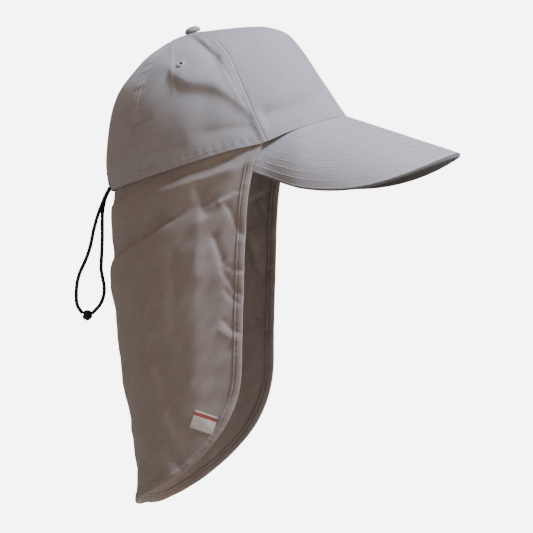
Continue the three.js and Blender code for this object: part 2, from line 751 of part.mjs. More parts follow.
const knotProfile = [[0, -0.5], [0.3, -0.42], [0.46, -0.2], [0.5, 0], [0.46, 0.2], [0.3, 0.42], [0, 0.5]]
  .map(([radius, height]) => [radius * knotWidth, height * knotHeight]);
const knotSpot = place(-knotBack, 0, -knotDrop);
const knot = turnedSolid(knotProfile, knotSides, false);
addPiece('cord_knot', seated(knot, knotSpot, new THREE.Vector3(0, 0, 1)), cordColour);

export default group;
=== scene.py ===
import math

import bpy
import numpy as np
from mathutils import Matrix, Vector


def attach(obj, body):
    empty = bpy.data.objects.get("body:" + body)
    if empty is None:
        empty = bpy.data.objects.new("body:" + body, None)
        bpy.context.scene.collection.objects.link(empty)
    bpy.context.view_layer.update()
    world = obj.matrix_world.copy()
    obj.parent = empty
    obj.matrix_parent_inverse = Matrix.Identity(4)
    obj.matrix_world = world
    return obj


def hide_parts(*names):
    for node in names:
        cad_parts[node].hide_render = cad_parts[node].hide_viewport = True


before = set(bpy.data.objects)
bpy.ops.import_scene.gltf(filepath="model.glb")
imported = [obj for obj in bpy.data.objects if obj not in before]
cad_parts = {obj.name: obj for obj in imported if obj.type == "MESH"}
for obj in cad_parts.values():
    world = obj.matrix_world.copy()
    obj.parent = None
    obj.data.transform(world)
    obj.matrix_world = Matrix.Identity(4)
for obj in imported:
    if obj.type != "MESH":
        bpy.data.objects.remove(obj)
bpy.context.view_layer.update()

# The camera: a long lens just ahead of the wearer's right side, level with the neck flap's upper part,
# so that the cap fills the frame as it does in the photograph.
AZIMUTH = math.radians(279)
ELEVATION = math.radians(1.4)
DISTANCE = 4.0
FRAME_WIDTH = 0.4317
FRAME_RIGHT = 0.0308
FRAME_UP = -0.0914
SENSOR = 36.0

camera_back = Vector((
    math.sin(AZIMUTH) * math.cos(ELEVATION),
    -math.cos(AZIMUTH) * math.cos(ELEVATION),
    math.sin(ELEVATION),
))
camera_right = Vector((math.cos(AZIMUTH), math.sin(AZIMUTH), 0))
camera_up = camera_back.cross(camera_right)
camera_target = camera_right * FRAME_RIGHT + camera_up * FRAME_UP
camera_data = bpy.data.cameras.new("camera")
camera_data.sensor_width = SENSOR
camera_data.lens = SENSOR * DISTANCE / FRAME_WIDTH
camera = bpy.data.objects.new("camera", camera_data)
bpy.context.scene.collection.objects.link(camera)
camera.location = camera_target + camera_back * DISTANCE
camera.rotation_euler = camera_back.to_track_quat("Z", "Y").to_euler()
bpy.context.scene.camera = camera

# The cord: one black braided elastic cord whose two strands leave the cap under a small tab at the
# centre back and hang in a loop, held together at the bottom by a small black knot.
MM = 0.001
CORD_DIAMETER = 3.0
CORD_SPACING = 3.2
CORD_COLOUR = (0.0075, 0.0075, 0.009)
CORD_ROUGHNESS = 0.55
CORD_SHINE = 0.4
CORD_SIDES = 20
CORD_STEPS = 150
# Over its last spans each strand is drawn in by this share of half the spacing.
CORD_DRAWN_IN = 0.5
CORD_DRAWN_IN_SPANS = 3
BRAID_TURNS = 6.0
BRAID_PITCH = 0.9
BRAID_DEPTH = 0.00012
BRAID_STRENGTH = 0.6
KNOT_CENTRE = (0.0, 116.4, -131.5)
KNOT_WIDTH = 8.6
KNOT_HEIGHT = 9.0
KNOT_FULLNESS = 0.93
# The knot's turns of cord: how many lean over it, by how many radians, how high they stand as a share of
# its radius, and the same for those that run slantwise round it.
KNOT_OVER_TURNS = 3
KNOT_OVER_LEAN = 4.5
KNOT_OVER_RIPPLE = 0.07
KNOT_SLANT_TURNS = 2
KNOT_SLANT_LEAN = 5
KNOT_SLANT_RIPPLE = 0.05
KNOT_POLE = 0.04
KNOT_ROWS = 48
KNOT_SIDES = 64
KNOT_UV_ROUND = 6.0
# The strands' paths, back and down from the middle of the rim in millimetres.
OUTER_STRAND = [
    (97.3, 27.3), (101.0, 34.1), (103.6, 40.3), (107.1, 49.0), (110.7, 61.3), (113.7, 75.3),
    (117.7, 86.8), (122.2, 96.4), (124.8, 106.1), (125.4, 117.5), (124.3, 124.0), (120.4, 130.0),
]
INNER_STRAND = [
    (97.3, 27.3), (101.7, 35.9), (104.0, 46.4), (104.4, 54.3), (104.4, 66.6), (104.8, 79.8),
    (105.4, 92.9), (104.4, 99.9), (103.0, 107.0), (103.1, 114.9), (106.2, 122.9), (112.7, 130.1),
]


def smoothstep(value, low, high):
    """0 below low, 1 above high, and a smooth cubic between them."""
    share = np.clip((value - low) / (high - low), 0, 1)
    return share * share * (3 - 2 * share)


def mix(first, second, share):
    """The straight-line mix of two values."""
    return first + (second - first) * share


def between(values, position):
    """A smooth cubic through the values, where position counts along them from 0."""
    values = np.asarray(values, float)
    last = len(values) - 1
    row = np.clip(np.floor(position).astype(int), 0, last - 1)
    share = position - row
    start, end = values[row], values[row + 1]
    start_slope = (end - values[np.maximum(row - 1, 0)]) / 2
    end_slope = (values[np.minimum(row + 2, last)] - start) / 2
    rise = end - start
    bend = 3 * rise - 2 * start_slope - end_slope
    turn = start_slope + end_slope - 2 * rise
    return start + share * (start_slope + share * (bend + share * turn))


def mesh_object(name, points, quads, triangles=None, uv=None):
    """A smooth-shaded mesh from points in millimetres and arrays of faces. uv is one pair for each
    corner of each face, in the order of the faces."""
    triangles = np.zeros((0, 3), int) if triangles is None else triangles
    corners = np.concatenate([quads.ravel(), triangles.ravel()])
    sizes = np.concatenate([np.full(len(quads), 4), np.full(len(triangles), 3)])
    mesh = bpy.data.meshes.new(name)
    mesh.vertices.add(len(points))
    mesh.vertices.foreach_set("co", (np.asarray(points, float) * MM).ravel())
    mesh.loops.add(len(corners))
    mesh.loops.foreach_set("vertex_index", corners)
    mesh.polygons.add(len(sizes))
    mesh.polygons.foreach_set("loop_start", np.cumsum(sizes) - sizes)
    mesh.polygons.foreach_set("use_smooth", np.ones(len(sizes), bool))
    if uv is not None:
        mesh.uv_layers.new(name="cloth").data.foreach_set("uv", np.asarray(uv, float).ravel())
    mesh.update(calc_edges=True)
    mesh.validate()
    thing = bpy.data.objects.new(name, mesh)
    bpy.context.scene.collection.objects.link(thing)
    return thing


def rows_of_rings(rows, sides):
    """Quads that join rings of points into a tube, with the row and side of each corner."""
    row, side = np.meshgrid(np.arange(rows - 1), np.arange(sides), indexing="ij")
    corner_rows = np.stack([row, row, row + 1, row + 1], -1).reshape(-1, 4)
    corner_sides = np.stack([side, side + 1, side + 1, side], -1).reshape(-1, 4)
    return corner_rows * sides + corner_sides % sides, corner_rows, corner_sides


def closed_tube(name, rings, length_uv, round_uv):
    """A tube through rings of points, shape (rows, sides, 3), closed at each end on a pole point."""
    rows, sides = rings.shape[:2]
    quads, corner_rows, corner_sides = rows_of_rings(rows, sides)
    points = np.concatenate([rings.reshape(-1, 3), rings[:1].mean(1), rings[-1:].mean(1)])
    side = np.arange(sides)
    following = (side + 1) % sides
    first = rows * sides
    start_cap = np.stack([np.full(sides, first), following, side], -1)
    end_ring = (rows - 1) * sides
    end_cap = np.stack([np.full(sides, first + 1), end_ring + side, end_ring + following], -1)
    triangles = np.concatenate([start_cap, end_cap])
    around = round_uv * corner_sides / sides
    along = np.asarray(length_uv)[corner_rows]
    cap_uv = np.zeros((triangles.size, 2))
    uv = np.concatenate([np.stack([around, along], -1).reshape(-1, 2), cap_uv])
    return mesh_object(name, points, quads, triangles, uv)


def unit(vectors):
    """The same vectors, each divided by its length."""
    return vectors / np.linalg.norm(vectors, axis=-1, keepdims=True)


def lengths_along(lines):
    """The length of each line from its start to each of its points, shape (..., points, axes)."""
    legs = np.linalg.norm(np.diff(lines, axis=-2), axis=-1)
    return np.concatenate([np.zeros_like(legs[..., :1]), np.cumsum(legs, axis=-1)], axis=-1)


def at_lengths(wanted, lengths, points):
    """The points of a line at the wanted lengths, straight between its own points."""
    return np.stack([np.interp(wanted, lengths, points[:, axis]) for axis in range(3)], -1)


def path_rings(path, radii, sides):
    """Circles of the given radii set square across a path that stays near one upright plane. Each ring
    stands on the path's tangent, with the x axis as one of its two directions."""
    tangent = unit(np.gradient(path, axis=0))
    sideways = unit(np.array([1.0, 0, 0]) - tangent * tangent[:, :1])
    across = np.cross(tangent, sideways)
    turn = 2 * np.pi * np.arange(sides) / sides
    ring = np.cos(turn)[None, :, None] * sideways[:, None] + np.sin(turn)[None, :, None] * across[:, None]
    return path[:, None] + ring * np.asarray(radii)[:, None, None]


def new_material(name, colour, roughness):
    """A node material with one Principled shader. Returns the material, its node tree and the shader."""
    material = bpy.data.materials.new(name)
    material.use_nodes = True
    tree = material.node_tree
    shader = tree.nodes["Principled BSDF"]
    shader.inputs["Base Color"].default_value = (*colour, 1)
    shader.inputs["Roughness"].default_value = roughness
    return material, tree, shader


def math_node(tree, operation, *values):
    """A math node fed with sockets or plain numbers. Returns its output."""
    node = tree.nodes.new("ShaderNodeMath")
    node.operation = operation
    for index, value in enumerate(values):
        if hasattr(value, "is_output"):
            tree.links.new(value, node.inputs[index])
        else:
            node.inputs[index].default_value = value
    return node.outputs[0]


def bump(tree, shader, height, distance, strength):
    """Tilts the shader's normal by a height, where a height of 1 stands for the distance in metres."""
    node = tree.nodes.new("ShaderNodeBump")
    node.inputs["Distance"].default_value = distance
    node.inputs["Strength"].default_value = strength
    tree.links.new(height, node.inputs["Height"])
    tree.links.new(node.outputs["Normal"], shader.inputs["Normal"])


def uv_axes(tree):
    """The two parts of the piece's own UV map."""
    uv = tree.nodes.new("ShaderNodeUVMap")
    uv.uv_map = "cloth"
    parts = tree.nodes.new("ShaderNodeSeparateXYZ")
    tree.links.new(uv.outputs["UV"], parts.inputs[0])
    return parts.outputs[0], parts.outputs[1]


cord_material, tree, shader = new_material("braided_cord", CORD_COLOUR, CORD_ROUGHNESS)
shader.inputs["Specular IOR Level"].default_value = CORD_SHINE
around, along = uv_axes(tree)
round_phase = math_node(tree, "MULTIPLY", around, 2 * math.pi * BRAID_TURNS)
long_phase = math_node(tree, "MULTIPLY", along, 2 * math.pi / BRAID_PITCH)
one_way = math_node(tree, "SINE", math_node(tree, "ADD", round_phase, long_phase))
other_way = math_node(tree, "SINE", math_node(tree, "SUBTRACT", round_phase, long_phase))
braid = math_node(tree, "MAXIMUM", one_way, other_way)
bump(tree, shader, braid, BRAID_DEPTH, BRAID_STRENGTH)


def make_strand(name, points, side):
    """A strand along its side-view path, evenly stepped, half the spacing to one side of the middle and
    drawn in towards the knot over its last spans. Returns it with its path and length."""
    points = np.array(points)
    count = len(points)
    position = np.linspace(0, count - 1, CORD_STEPS)
    apart = 1 - CORD_DRAWN_IN * smoothstep(position, count - 1 - CORD_DRAWN_IN_SPANS, count - 1)
    back = between(points[:, 0], position)
    down = between(points[:, 1], position)
    path = np.stack([side * CORD_SPACING / 2 * apart, back, -down], -1)
    lengths = lengths_along(path)
    even = np.linspace(0, lengths[-1], CORD_STEPS)
    path = at_lengths(even, lengths, path)
    rings = path_rings(path, np.full(CORD_STEPS, CORD_DIAMETER / 2), CORD_SIDES)
    strand = closed_tube(name, rings, even, 1.0)
    strand.data.materials.append(cord_material)
    return strand, path, lengths[-1]


def make_knot():
    """The knot: a ball of wound cord. Its radius is rippled by turns that lean over it with the cosine of
    the polar angle, and by others that run slantwise round it, in step with that angle."""
    polar = np.linspace(KNOT_POLE, np.pi - KNOT_POLE, KNOT_ROWS)[:, None]
    turn = (2 * np.pi * np.arange(KNOT_SIDES) / KNOT_SIDES)[None]
    over = KNOT_OVER_RIPPLE * np.sin(KNOT_OVER_TURNS * turn + KNOT_OVER_LEAN * np.cos(polar))
    slant = KNOT_SLANT_RIPPLE * np.sin(KNOT_SLANT_LEAN * polar - KNOT_SLANT_TURNS * turn)
    radius = KNOT_WIDTH / 2 * (1 + over + slant) * KNOT_FULLNESS
    x = radius * np.sin(polar) * np.cos(turn)
    y = radius * np.sin(polar) * np.sin(turn)
    z = -radius * np.cos(polar) * KNOT_HEIGHT / KNOT_WIDTH
    rings = np.stack([x, y, z], -1) + np.array(KNOT_CENTRE)
    knot = closed_tube("knot", rings, polar[:, 0] * KNOT_WIDTH / 2, KNOT_UV_ROUND)
    knot.data.materials.append(cord_material)
    return knot


outer_strand, outer_path, outer_length = make_strand("strand_outer", OUTER_STRAND, -1)
inner_strand, inner_path, inner_length = make_strand("strand_inner", INNER_STRAND, 1)
knot = make_knot()
cord_pieces = [(outer_strand, "cord_strand_outer"), (inner_strand, "cord_strand_inner"), (knot, "cord_knot")]
for piece, node in cord_pieces:
    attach(piece, "root")
    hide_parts(node)

# The crown: five panels of cotton twill sewn edge to edge, with the seam allowances pressed flat and
# topstitched on both sides. The front panel is backed and stands smooth; the others are soft and creased.
RIM_HALF_LENGTH = 100.5
RIM_HALF_WIDTH = 82.0
RIM_TILT = math.radians(17.9)
CROWN_HEIGHT = 102.0
CROWN_WALL = 1.5
APEX_LEAN = 2.6
CLOTH_COLOUR = (0.345, 0.313, 0.296)
# The cloth's length from the rim to the top, and its mean distance from the middle.
CROWN_CLOTH_LENGTH = 160.0
CROWN_CLOTH_RADIUS = 90.0
# The seams, in degrees round from the front, and the panels' tips, as a share of the way up.
FRONT_SEAM = 64.0
BACK_SEAM = 128.0
MIDDLE_SEAM = 180.0
TIP_SHARE = 0.975
TIP_REACH = 0.5
SEAM_OVERLAP = 0.3
# The rim dips a little behind the front seam.
RIM_SAG = 2.6
RIM_SAG_BEHIND = 2.0
RIM_SAG_WIDTH = 11.0
RIM_SAG_SHARE = 0.3
# A seam sinks between two low ridges, where its allowances lie, and puckers the cloth on both sides.
SEAM_DIP = 0.28
SEAM_DIP_WIDTH = 0.7
SEAM_RIDGE = 0.12
SEAM_RIDGE_OFFSET = 1.6
SEAM_RIDGE_WIDTH = 1.0
PUCKER_DEPTH = 0.16
PUCKER_PITCH = 13.7
FINE_PUCKER_PITCH = 8.3
FINE_PUCKER_SHARE = 0.7
PUCKER_OFFSET = 3.0
PUCKER_SPREAD = math.sqrt(18)
# Stitches sink into the cloth: beside the seams, and in a row above the rim, which puckers it too.
STITCH_OFFSET = 2.7
STITCH_DIP = 0.09
STITCH_DIP_WIDTH = 0.5
RIM_STITCH_SHARE = 0.036
RIM_STITCH_DIP = 0.10
RIM_STITCH_DIP_WIDTH = 0.55
RIM_PUCKER_DEPTH = 0.15
RIM_PUCKER_ANGLE = 4.4
RIM_PUCKER_SPREAD = 4.0
# Creases fade towards the backed front panel, towards the top and on the side that is turned away.
HIDDEN_SIDE = 0.6
SIDE_CHANGE = 30.0
FRONT_SIDE_CHANGE = 20.0
SOFT_START = 8.0
FIRM_START = 10.0
CREASE_TOP = (0.8, 0.95)
FOLD_FADE = 0.22
FOLD_CRISPNESS = 4.0
FOLD_CREST_BLEND = 0.6
# Each panel's grid crowds towards its seams, the rim and the top.
PANEL_ROW_CROWDING = 0.5
PANEL_COLUMN_CROWDING = 0.75
SHARP_ANGLE = math.radians(50)
# The cloth is slightly wavy all over, less so on the front panel and at the top.
CROWN_WAVE_LENGTH = 34.0
CROWN_WAVE_LEAN = 0.4
CROWN_WAVE_SEED = 5
FIRM_WAVE = 0.12
SOFT_WAVE = 0.55
# Level by level from the rim to the top: reach to the front, side and back as shares of the rim's half
# length and half width, and height there as a share of the crown's height.
CROWN_FRONT = [1.000, 0.950, 0.903, 0.858, 0.808, 0.739, 0.611, 0.459, 0.298, 0.137, 0.000]
CROWN_SIDE = [1.000, 1.008, 0.996, 0.962, 0.905, 0.817, 0.696, 0.549, 0.378, 0.193, 0.000]
CROWN_BACK = [1.000, 0.985, 0.938, 0.881, 0.809, 0.713, 0.592, 0.457, 0.309, 0.157, 0.000]
FRONT_UP = [0.000, 0.155, 0.307, 0.460, 0.613, 0.757, 0.852, 0.905, 0.942, 0.974, 1.000]
SIDE_UP = [-0.015, 0.142, 0.294, 0.438, 0.576, 0.702, 0.810, 0.892, 0.948, 0.985, 1.000]
BACK_UP = [0.000, 0.158, 0.309, 0.455, 0.594, 0.720, 0.820, 0.902, 0.958, 0.996, 1.000]
# Creases seen from the wearer's right: how deep they press in (less than nought is a ridge), how far
# they fade to the left and right of their path, and the path, forward and up from the rim's middle in
# shares of the half length and the height.
CROWN_FOLDS = [
    (2.6, 3.0, 7.0, [(-0.090, 1.060), (0.083, 0.930), (0.165, 0.834), (0.234, 0.739), (0.275, 0.610)]),
    (1.3, 3.0, 9.0, [(0.200, 0.800), (0.290, 0.574), (0.329, 0.380), (0.388, 0.244), (0.430, 0.120)]),
    (-0.8, 2.5, 3.0, [(0.027, 0.985), (0.160, 0.883), (0.235, 0.747), (0.312, 0.435), (0.349, 0.249)]),
    (1.5, 7.0, 14.0, [(-0.250, 0.800), (-0.171, 0.690), (-0.130, 0.570), (-0.026, 0.509), (0.173, 0.431),
                      (0.306, 0.270), (0.393, 0.180), (0.450, 0.110)]),
    (-2.8, 16.0, 7.5, [(-0.200, 0.880), (-0.105, 0.680), (-0.010, 0.595), (0.165, 0.515), (0.285, 0.370),
                       (0.370, 0.240), (0.430, 0.150)]),
    (-0.5, 1.6, 1.6, [(-0.131, 1.100), (-0.113, 0.814), (-0.153, 0.597), (-0.170, 0.500)]),
    (-1.9, 4.0, 9.0, [(-0.080, 0.830), (-0.283, 0.653), (-0.460, 0.508), (-0.600, 0.400)]),
    (1.5, 2.0, 2.5, [(-0.620, 0.415), (-0.533, 0.422), (-0.456, 0.424), (-0.362, 0.429)]),
    (1.5, 6.0, 12.0, [(-0.150, 0.180), (0.155, 0.153), (0.347, 0.108), (0.543, 0.094)]),
    (1.1, 3.0, 4.0, [(-0.720, 0.030), (-0.625, 0.060), (-0.531, 0.082), (-0.400, 0.100)]),
    (0.9, 4.0, 6.0, [(-0.489, 0.202), (-0.149, 0.140)]),
    (1.2, 7.0, 5.0, [(-0.640, 0.560), (-0.560, 0.300)]),
]
# The same for the backed front panel, which has one shallow hollow above its rim.
FRONT_FOLDS = [
    (2.4, 9.0, 16.0, [(0.150, 0.190), (0.420, 0.170), (0.650, 0.160), (0.950, 0.180)]),
]


def place(forward, sideways, up):
    """Points of the cap from forward, sideways and up. The front is towards -Y."""
    return np.stack([sideways, -forward, up], -1)


def place_on_rim(forward, sideways, up):
    """The same, for lengths measured in the tilted plane of the rim and square to it."""
    level = forward * math.cos(RIM_TILT) - up * math.sin(RIM_TILT)
    return place(level, sideways, forward * math.sin(RIM_TILT) + up * math.cos(RIM_TILT))


def fold_depth(folds, forward, height, forward_size, height_size):
    """How deep the creases press in at a point seen from the side. Each falls off with the distance to
    its path from a rounded crest, with a width of its own on either side, so one flank can be steep and
    one soft, and fades towards both ends of the path."""
    depth = np.zeros_like(forward)
    for deep, left_width, right_width, path in folds:
        nearest = np.full_like(forward, np.inf)
        on_left = np.zeros_like(forward)
        position = np.zeros_like(forward)
        for leg, (start, end) in enumerate(zip(path[:-1], path[1:])):
            start_forward, start_height = start[0] * forward_size, start[1] * height_size
            leg_forward = end[0] * forward_size - start_forward
            leg_height = end[1] * height_size - start_height
            off_forward, off_height = forward - start_forward, height - start_height
            run = off_forward * leg_forward + off_height * leg_height
            share = np.clip(run / (leg_forward ** 2 + leg_height ** 2), 0, 1)
            gap = np.hypot(off_forward - share * leg_forward, off_height - share * leg_height)
            closer = gap < nearest
            side = leg_forward * off_height - leg_height * off_forward
            aside = side / math.hypot(leg_forward, leg_height)
            on_left = np.where(closer, 0.5 + 0.5 * np.tanh(aside / FOLD_CREST_BLEND), on_left)
            position = np.where(closer, (leg + share) / (len(path) - 1), position)
            nearest = np.where(closer, gap, nearest)
        away = nearest / mix(right_width, left_width, on_left)
        swell = smoothstep(position, 0, FOLD_FADE) * smoothstep(1 - position, 0, FOLD_FADE)
        depth += deep * swell * np.exp(1 - np.sqrt(1 + FOLD_CRISPNESS * away ** 2))
    return depth


def bell(distance, middle, width):
    """1 at the middle, falling off on both sides as a bell curve of that width."""
    return np.exp(-((distance - middle) / width) ** 2)


def waves(first, second, length, seed):
    """Soft unevenness from about -1 to 1: the sum of a few sine waves of about that length, at angles
    and phases drawn from the seed."""
    count, shortest, longest, highest = 6, 0.7, 1.5, 3.5
    random = np.random.default_rng(seed)
    total = np.zeros_like(first)
    for _ in range(count):
        angle, phase = random.uniform(0, 2 * np.pi, 2)
        pitch = length * random.uniform(shortest, longest)
        across = first * math.cos(angle) + second * math.sin(angle)
        total += np.sin(2 * np.pi * across / pitch + phase)
    return total / highest


def crown_form(angle, share):
    """The crown without creases: at each level an oval whose reach and height turn from the front or
    back row of the table to the side row with the square of the sine of the angle from the front."""
    turn = np.radians(angle)
    row = share * (len(CROWN_FRONT) - 1)
    ahead = np.cos(turn) >= 0
    along = np.where(ahead, between(CROWN_FRONT, row), between(CROWN_BACK, row))
    end_up = np.where(ahead, between(FRONT_UP, row), between(BACK_UP, row))
    forward = RIM_HALF_LENGTH * along * np.cos(turn) + APEX_LEAN * share
    sideways = RIM_HALF_WIDTH * between(CROWN_SIDE, row) * np.sin(turn)
    height = CROWN_HEIGHT * mix(end_up, between(SIDE_UP, row), np.sin(turn) ** 2)
    sag = RIM_SAG * bell(np.abs(angle), FRONT_SEAM + RIM_SAG_BEHIND, RIM_SAG_WIDTH)
    return forward, sideways, height - sag * (1 - smoothstep(share, 0, RIM_SAG_SHARE))


def crown_point(angle, share):
    """The crown's outer face: the plain form pushed along its normal by creases, seam dips, puckers
    beside the seams and slight waves of the cloth."""
    forward, sideways, height = crown_form(angle, share)
    base = place_on_rim(forward, sideways, height)
    angle_step, share_step = 0.01, 0.001
    by_angle = (place_on_rim(*crown_form(angle + angle_step, share)) - base) / angle_step
    by_share = (place_on_rim(*crown_form(angle, share + share_step)) - base) / share_step
    normal = unit(np.cross(by_angle, by_share))
    per_degree = np.linalg.norm(by_angle, axis=-1)
    size = np.abs(angle)
    behind = (size - FRONT_SEAM) * per_degree
    soft = smoothstep(behind, 0, SOFT_START) * (1 - smoothstep(share, *CREASE_TOP))
    strength = mix(1, HIDDEN_SIDE, smoothstep(sideways, -SIDE_CHANGE, SIDE_CHANGE))
    lift = -fold_depth(CROWN_FOLDS, forward, height, RIM_HALF_LENGTH, CROWN_HEIGHT) * soft * strength
    firm = smoothstep(-behind, 0, FIRM_START)
    firm = firm * (1 - smoothstep(sideways, -FRONT_SIDE_CHANGE, FRONT_SIDE_CHANGE))
    lift -= fold_depth(FRONT_FOLDS, forward, height, RIM_HALF_LENGTH, CROWN_HEIGHT) * firm
    run = 2 * np.pi * share * CROWN_CLOTH_LENGTH
    for seam in (FRONT_SEAM, BACK_SEAM, MIDDLE_SEAM):
        gap = np.abs(size - seam) * per_degree
        lift -= bell(gap, 0, SEAM_DIP_WIDTH) * SEAM_DIP
        lift += bell(gap, SEAM_RIDGE_OFFSET, SEAM_RIDGE_WIDTH) * SEAM_RIDGE
        lift -= bell(gap, STITCH_OFFSET, STITCH_DIP_WIDTH) * STITCH_DIP
        pucker = np.sin(run / PUCKER_PITCH + seam)
        pucker += FINE_PUCKER_SHARE * np.sin(run / FINE_PUCKER_PITCH + 2 * seam)
        lift += bell(gap, PUCKER_OFFSET, PUCKER_SPREAD) * PUCKER_DEPTH * pucker * soft
    wavy = waves(forward + CROWN_WAVE_LEAN * sideways, height, CROWN_WAVE_LENGTH, CROWN_WAVE_SEED)
    lift += wavy * mix(FIRM_WAVE, SOFT_WAVE, soft) * (1 - share ** 4)
    rim_gap = (share - RIM_STITCH_SHARE) * CROWN_CLOTH_LENGTH
    lift -= bell(rim_gap, 0, RIM_STITCH_DIP_WIDTH) * RIM_STITCH_DIP
    rim_pucker = RIM_PUCKER_DEPTH * np.sin(2 * np.pi * angle / RIM_PUCKER_ANGLE)
    lift += bell(rim_gap, 0, RIM_PUCKER_SPREAD) * rim_pucker * soft
    return base + normal * lift[..., None]


def shell_object(name, outer, wall, uv, inner=None):
    """A closed sheet of cloth from a grid of points on its outer face, shape (rows, columns, 3): an
    inner face one wall behind it along the normals, unless its points are given, and a strip round the
    edge."""
    rows, columns = outer.shape[:2]
    if inner is None:
        inner = outer - unit(np.cross(np.gradient(outer, axis=1), np.gradient(outer, axis=0))) * wall
    index = np.arange(rows * columns).reshape(rows, columns)
    a, b, c, d = index[:-1, :-1], index[:-1, 1:], index[1:, 1:], index[1:, :-1]
    front = np.stack([a, b, c, d], -1).reshape(-1, 4)
    behind = np.stack([a, d, c, b], -1).reshape(-1, 4) + rows * columns
    edge = np.concatenate([index[0, :-1], index[:-1, -1], index[-1, :0:-1], index[:0:-1, 0]])
    after = np.roll(edge, -1)
    strip = np.stack([after, edge, edge + rows * columns, after + rows * columns], -1)
    quads = np.concatenate([front, behind, strip])
    points = np.concatenate([outer.reshape(-1, 3), inner.reshape(-1, 3)])
    corner_uv = np.concatenate([uv.reshape(-1, 2)] * 2)[quads.ravel()]
    thing = mesh_object(name, points, quads, None, corner_uv)
    thing.data.set_sharp_from_angle(angle=SHARP_ANGLE)
    return thing


def crowded(count, strength):
    """Steps from 0 to 1 that crowd towards both ends: even ones less a share of a sine wave."""
    even = np.linspace(0, 1, count)
    return even - strength * np.sin(2 * np.pi * even) / (2 * np.pi)


def make_panel(name, node, first_seam, last_seam, columns, rows):
    """One crown panel between two seams, finest beside its seams and the rim."""
    share = TIP_SHARE * crowded(rows, PANEL_ROW_CROWDING)[:, None]
    middle = (first_seam + last_seam) / 2
    forward, sideways, _ = crown_form(np.full(rows, middle), share[:, 0])
    reach = np.maximum(np.hypot(forward - APEX_LEAN * share[:, 0], sideways), TIP_REACH)
    over = np.degrees(SEAM_OVERLAP / 2 / reach)[:, None]
    across = crowded(columns, PANEL_COLUMN_CROWDING)[None]
    angle = mix(first_seam - over, last_seam + over, across)
    share = np.broadcast_to(share, angle.shape)
    points = crown_point(angle, share)
    uv = np.stack([np.radians(angle) * CROWN_CLOTH_RADIUS, share * CROWN_CLOTH_LENGTH], -1) * MM
    panel = shell_object(name, points, CROWN_WALL, uv)
    panel.data.materials.append(cloth_material)
    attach(panel, "root")
    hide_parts(node)
    return panel


# Twill: a diagonal rib that leans by this share, crossed by finer and lower weft threads.
RIB_LEAN = 0.6
WEFT_FINENESS = 1.7
WEFT_HEIGHT = 0.4
TWILL_THREADS = 1500.0
TWILL_DEPTH = 0.00006
WEAVE_STRENGTH = 0.5
CLOTH_SHINE = 0.25
SHEEN_ROUGHNESS = 0.5
# Unevenness of the dye: patches a metre across, along and through the cloth, their detail and strength.
DYE_PATCHES = [
    ((45, 45, 45), 3.0, 0.16),
    ((420, 420, 420), 2.0, 0.12),
    ((1500, 70, 1), 1.0, 0.16),
    ((70, 1500, 1), 1.0, 0.16),
]


def weave_group():
    """Twill weave from a UV map in metres. Height is the sine of a diagonal rib plus a lower sine of the
    weft, and tint is 1 plus patches of slow noise, fine noise and streaks along both threads."""
    group = bpy.data.node_groups.new("twill_weave", "ShaderNodeTree")
    group.interface.new_socket("Cloth UV", in_out="INPUT", socket_type="NodeSocketVector")
    group.interface.new_socket("Threads per metre", in_out="INPUT", socket_type="NodeSocketFloat")
    group.interface.new_socket("Height", in_out="OUTPUT", socket_type="NodeSocketFloat")
    group.interface.new_socket("Tint", in_out="OUTPUT", socket_type="NodeSocketFloat")
    start = group.nodes.new("NodeGroupInput")
    end = group.nodes.new("NodeGroupOutput")
    parts = group.nodes.new("ShaderNodeSeparateXYZ")
    group.links.new(start.outputs["Cloth UV"], parts.inputs[0])
    threads = math_node(group, "MULTIPLY", start.outputs["Threads per metre"], 2 * math.pi)
    lean = math_node(group, "MULTIPLY", parts.outputs[1], RIB_LEAN)
    diagonal = math_node(group, "ADD", parts.outputs[0], lean)
    rib = math_node(group, "SINE", math_node(group, "MULTIPLY", diagonal, threads))
    weft_threads = math_node(group, "MULTIPLY", threads, WEFT_FINENESS)
    weft = math_node(group, "SINE", math_node(group, "MULTIPLY", parts.outputs[1], weft_threads))
    height = math_node(group, "ADD", rib, math_node(group, "MULTIPLY", weft, WEFT_HEIGHT))
    group.links.new(height, end.inputs["Height"])
    tint = 1.0
    for stretch, detail, strength in DYE_PATCHES:
        scaled = group.nodes.new("ShaderNodeVectorMath")
        scaled.operation = "MULTIPLY"
        scaled.inputs[1].default_value = stretch
        group.links.new(start.outputs["Cloth UV"], scaled.inputs[0])
        noise = group.nodes.new("ShaderNodeTexNoise")
        noise.inputs["Scale"].default_value = 1.0
        noise.inputs["Detail"].default_value = detail
        group.links.new(scaled.outputs[0], noise.inputs["Vector"])
        uneven = math_node(group, "SUBTRACT", noise.outputs[0], 0.5)
        tint = math_node(group, "ADD", math_node(group, "MULTIPLY", uneven, strength), tint)
    group.links.new(tint, end.inputs["Tint"])
    return group


WEAVE = weave_group()


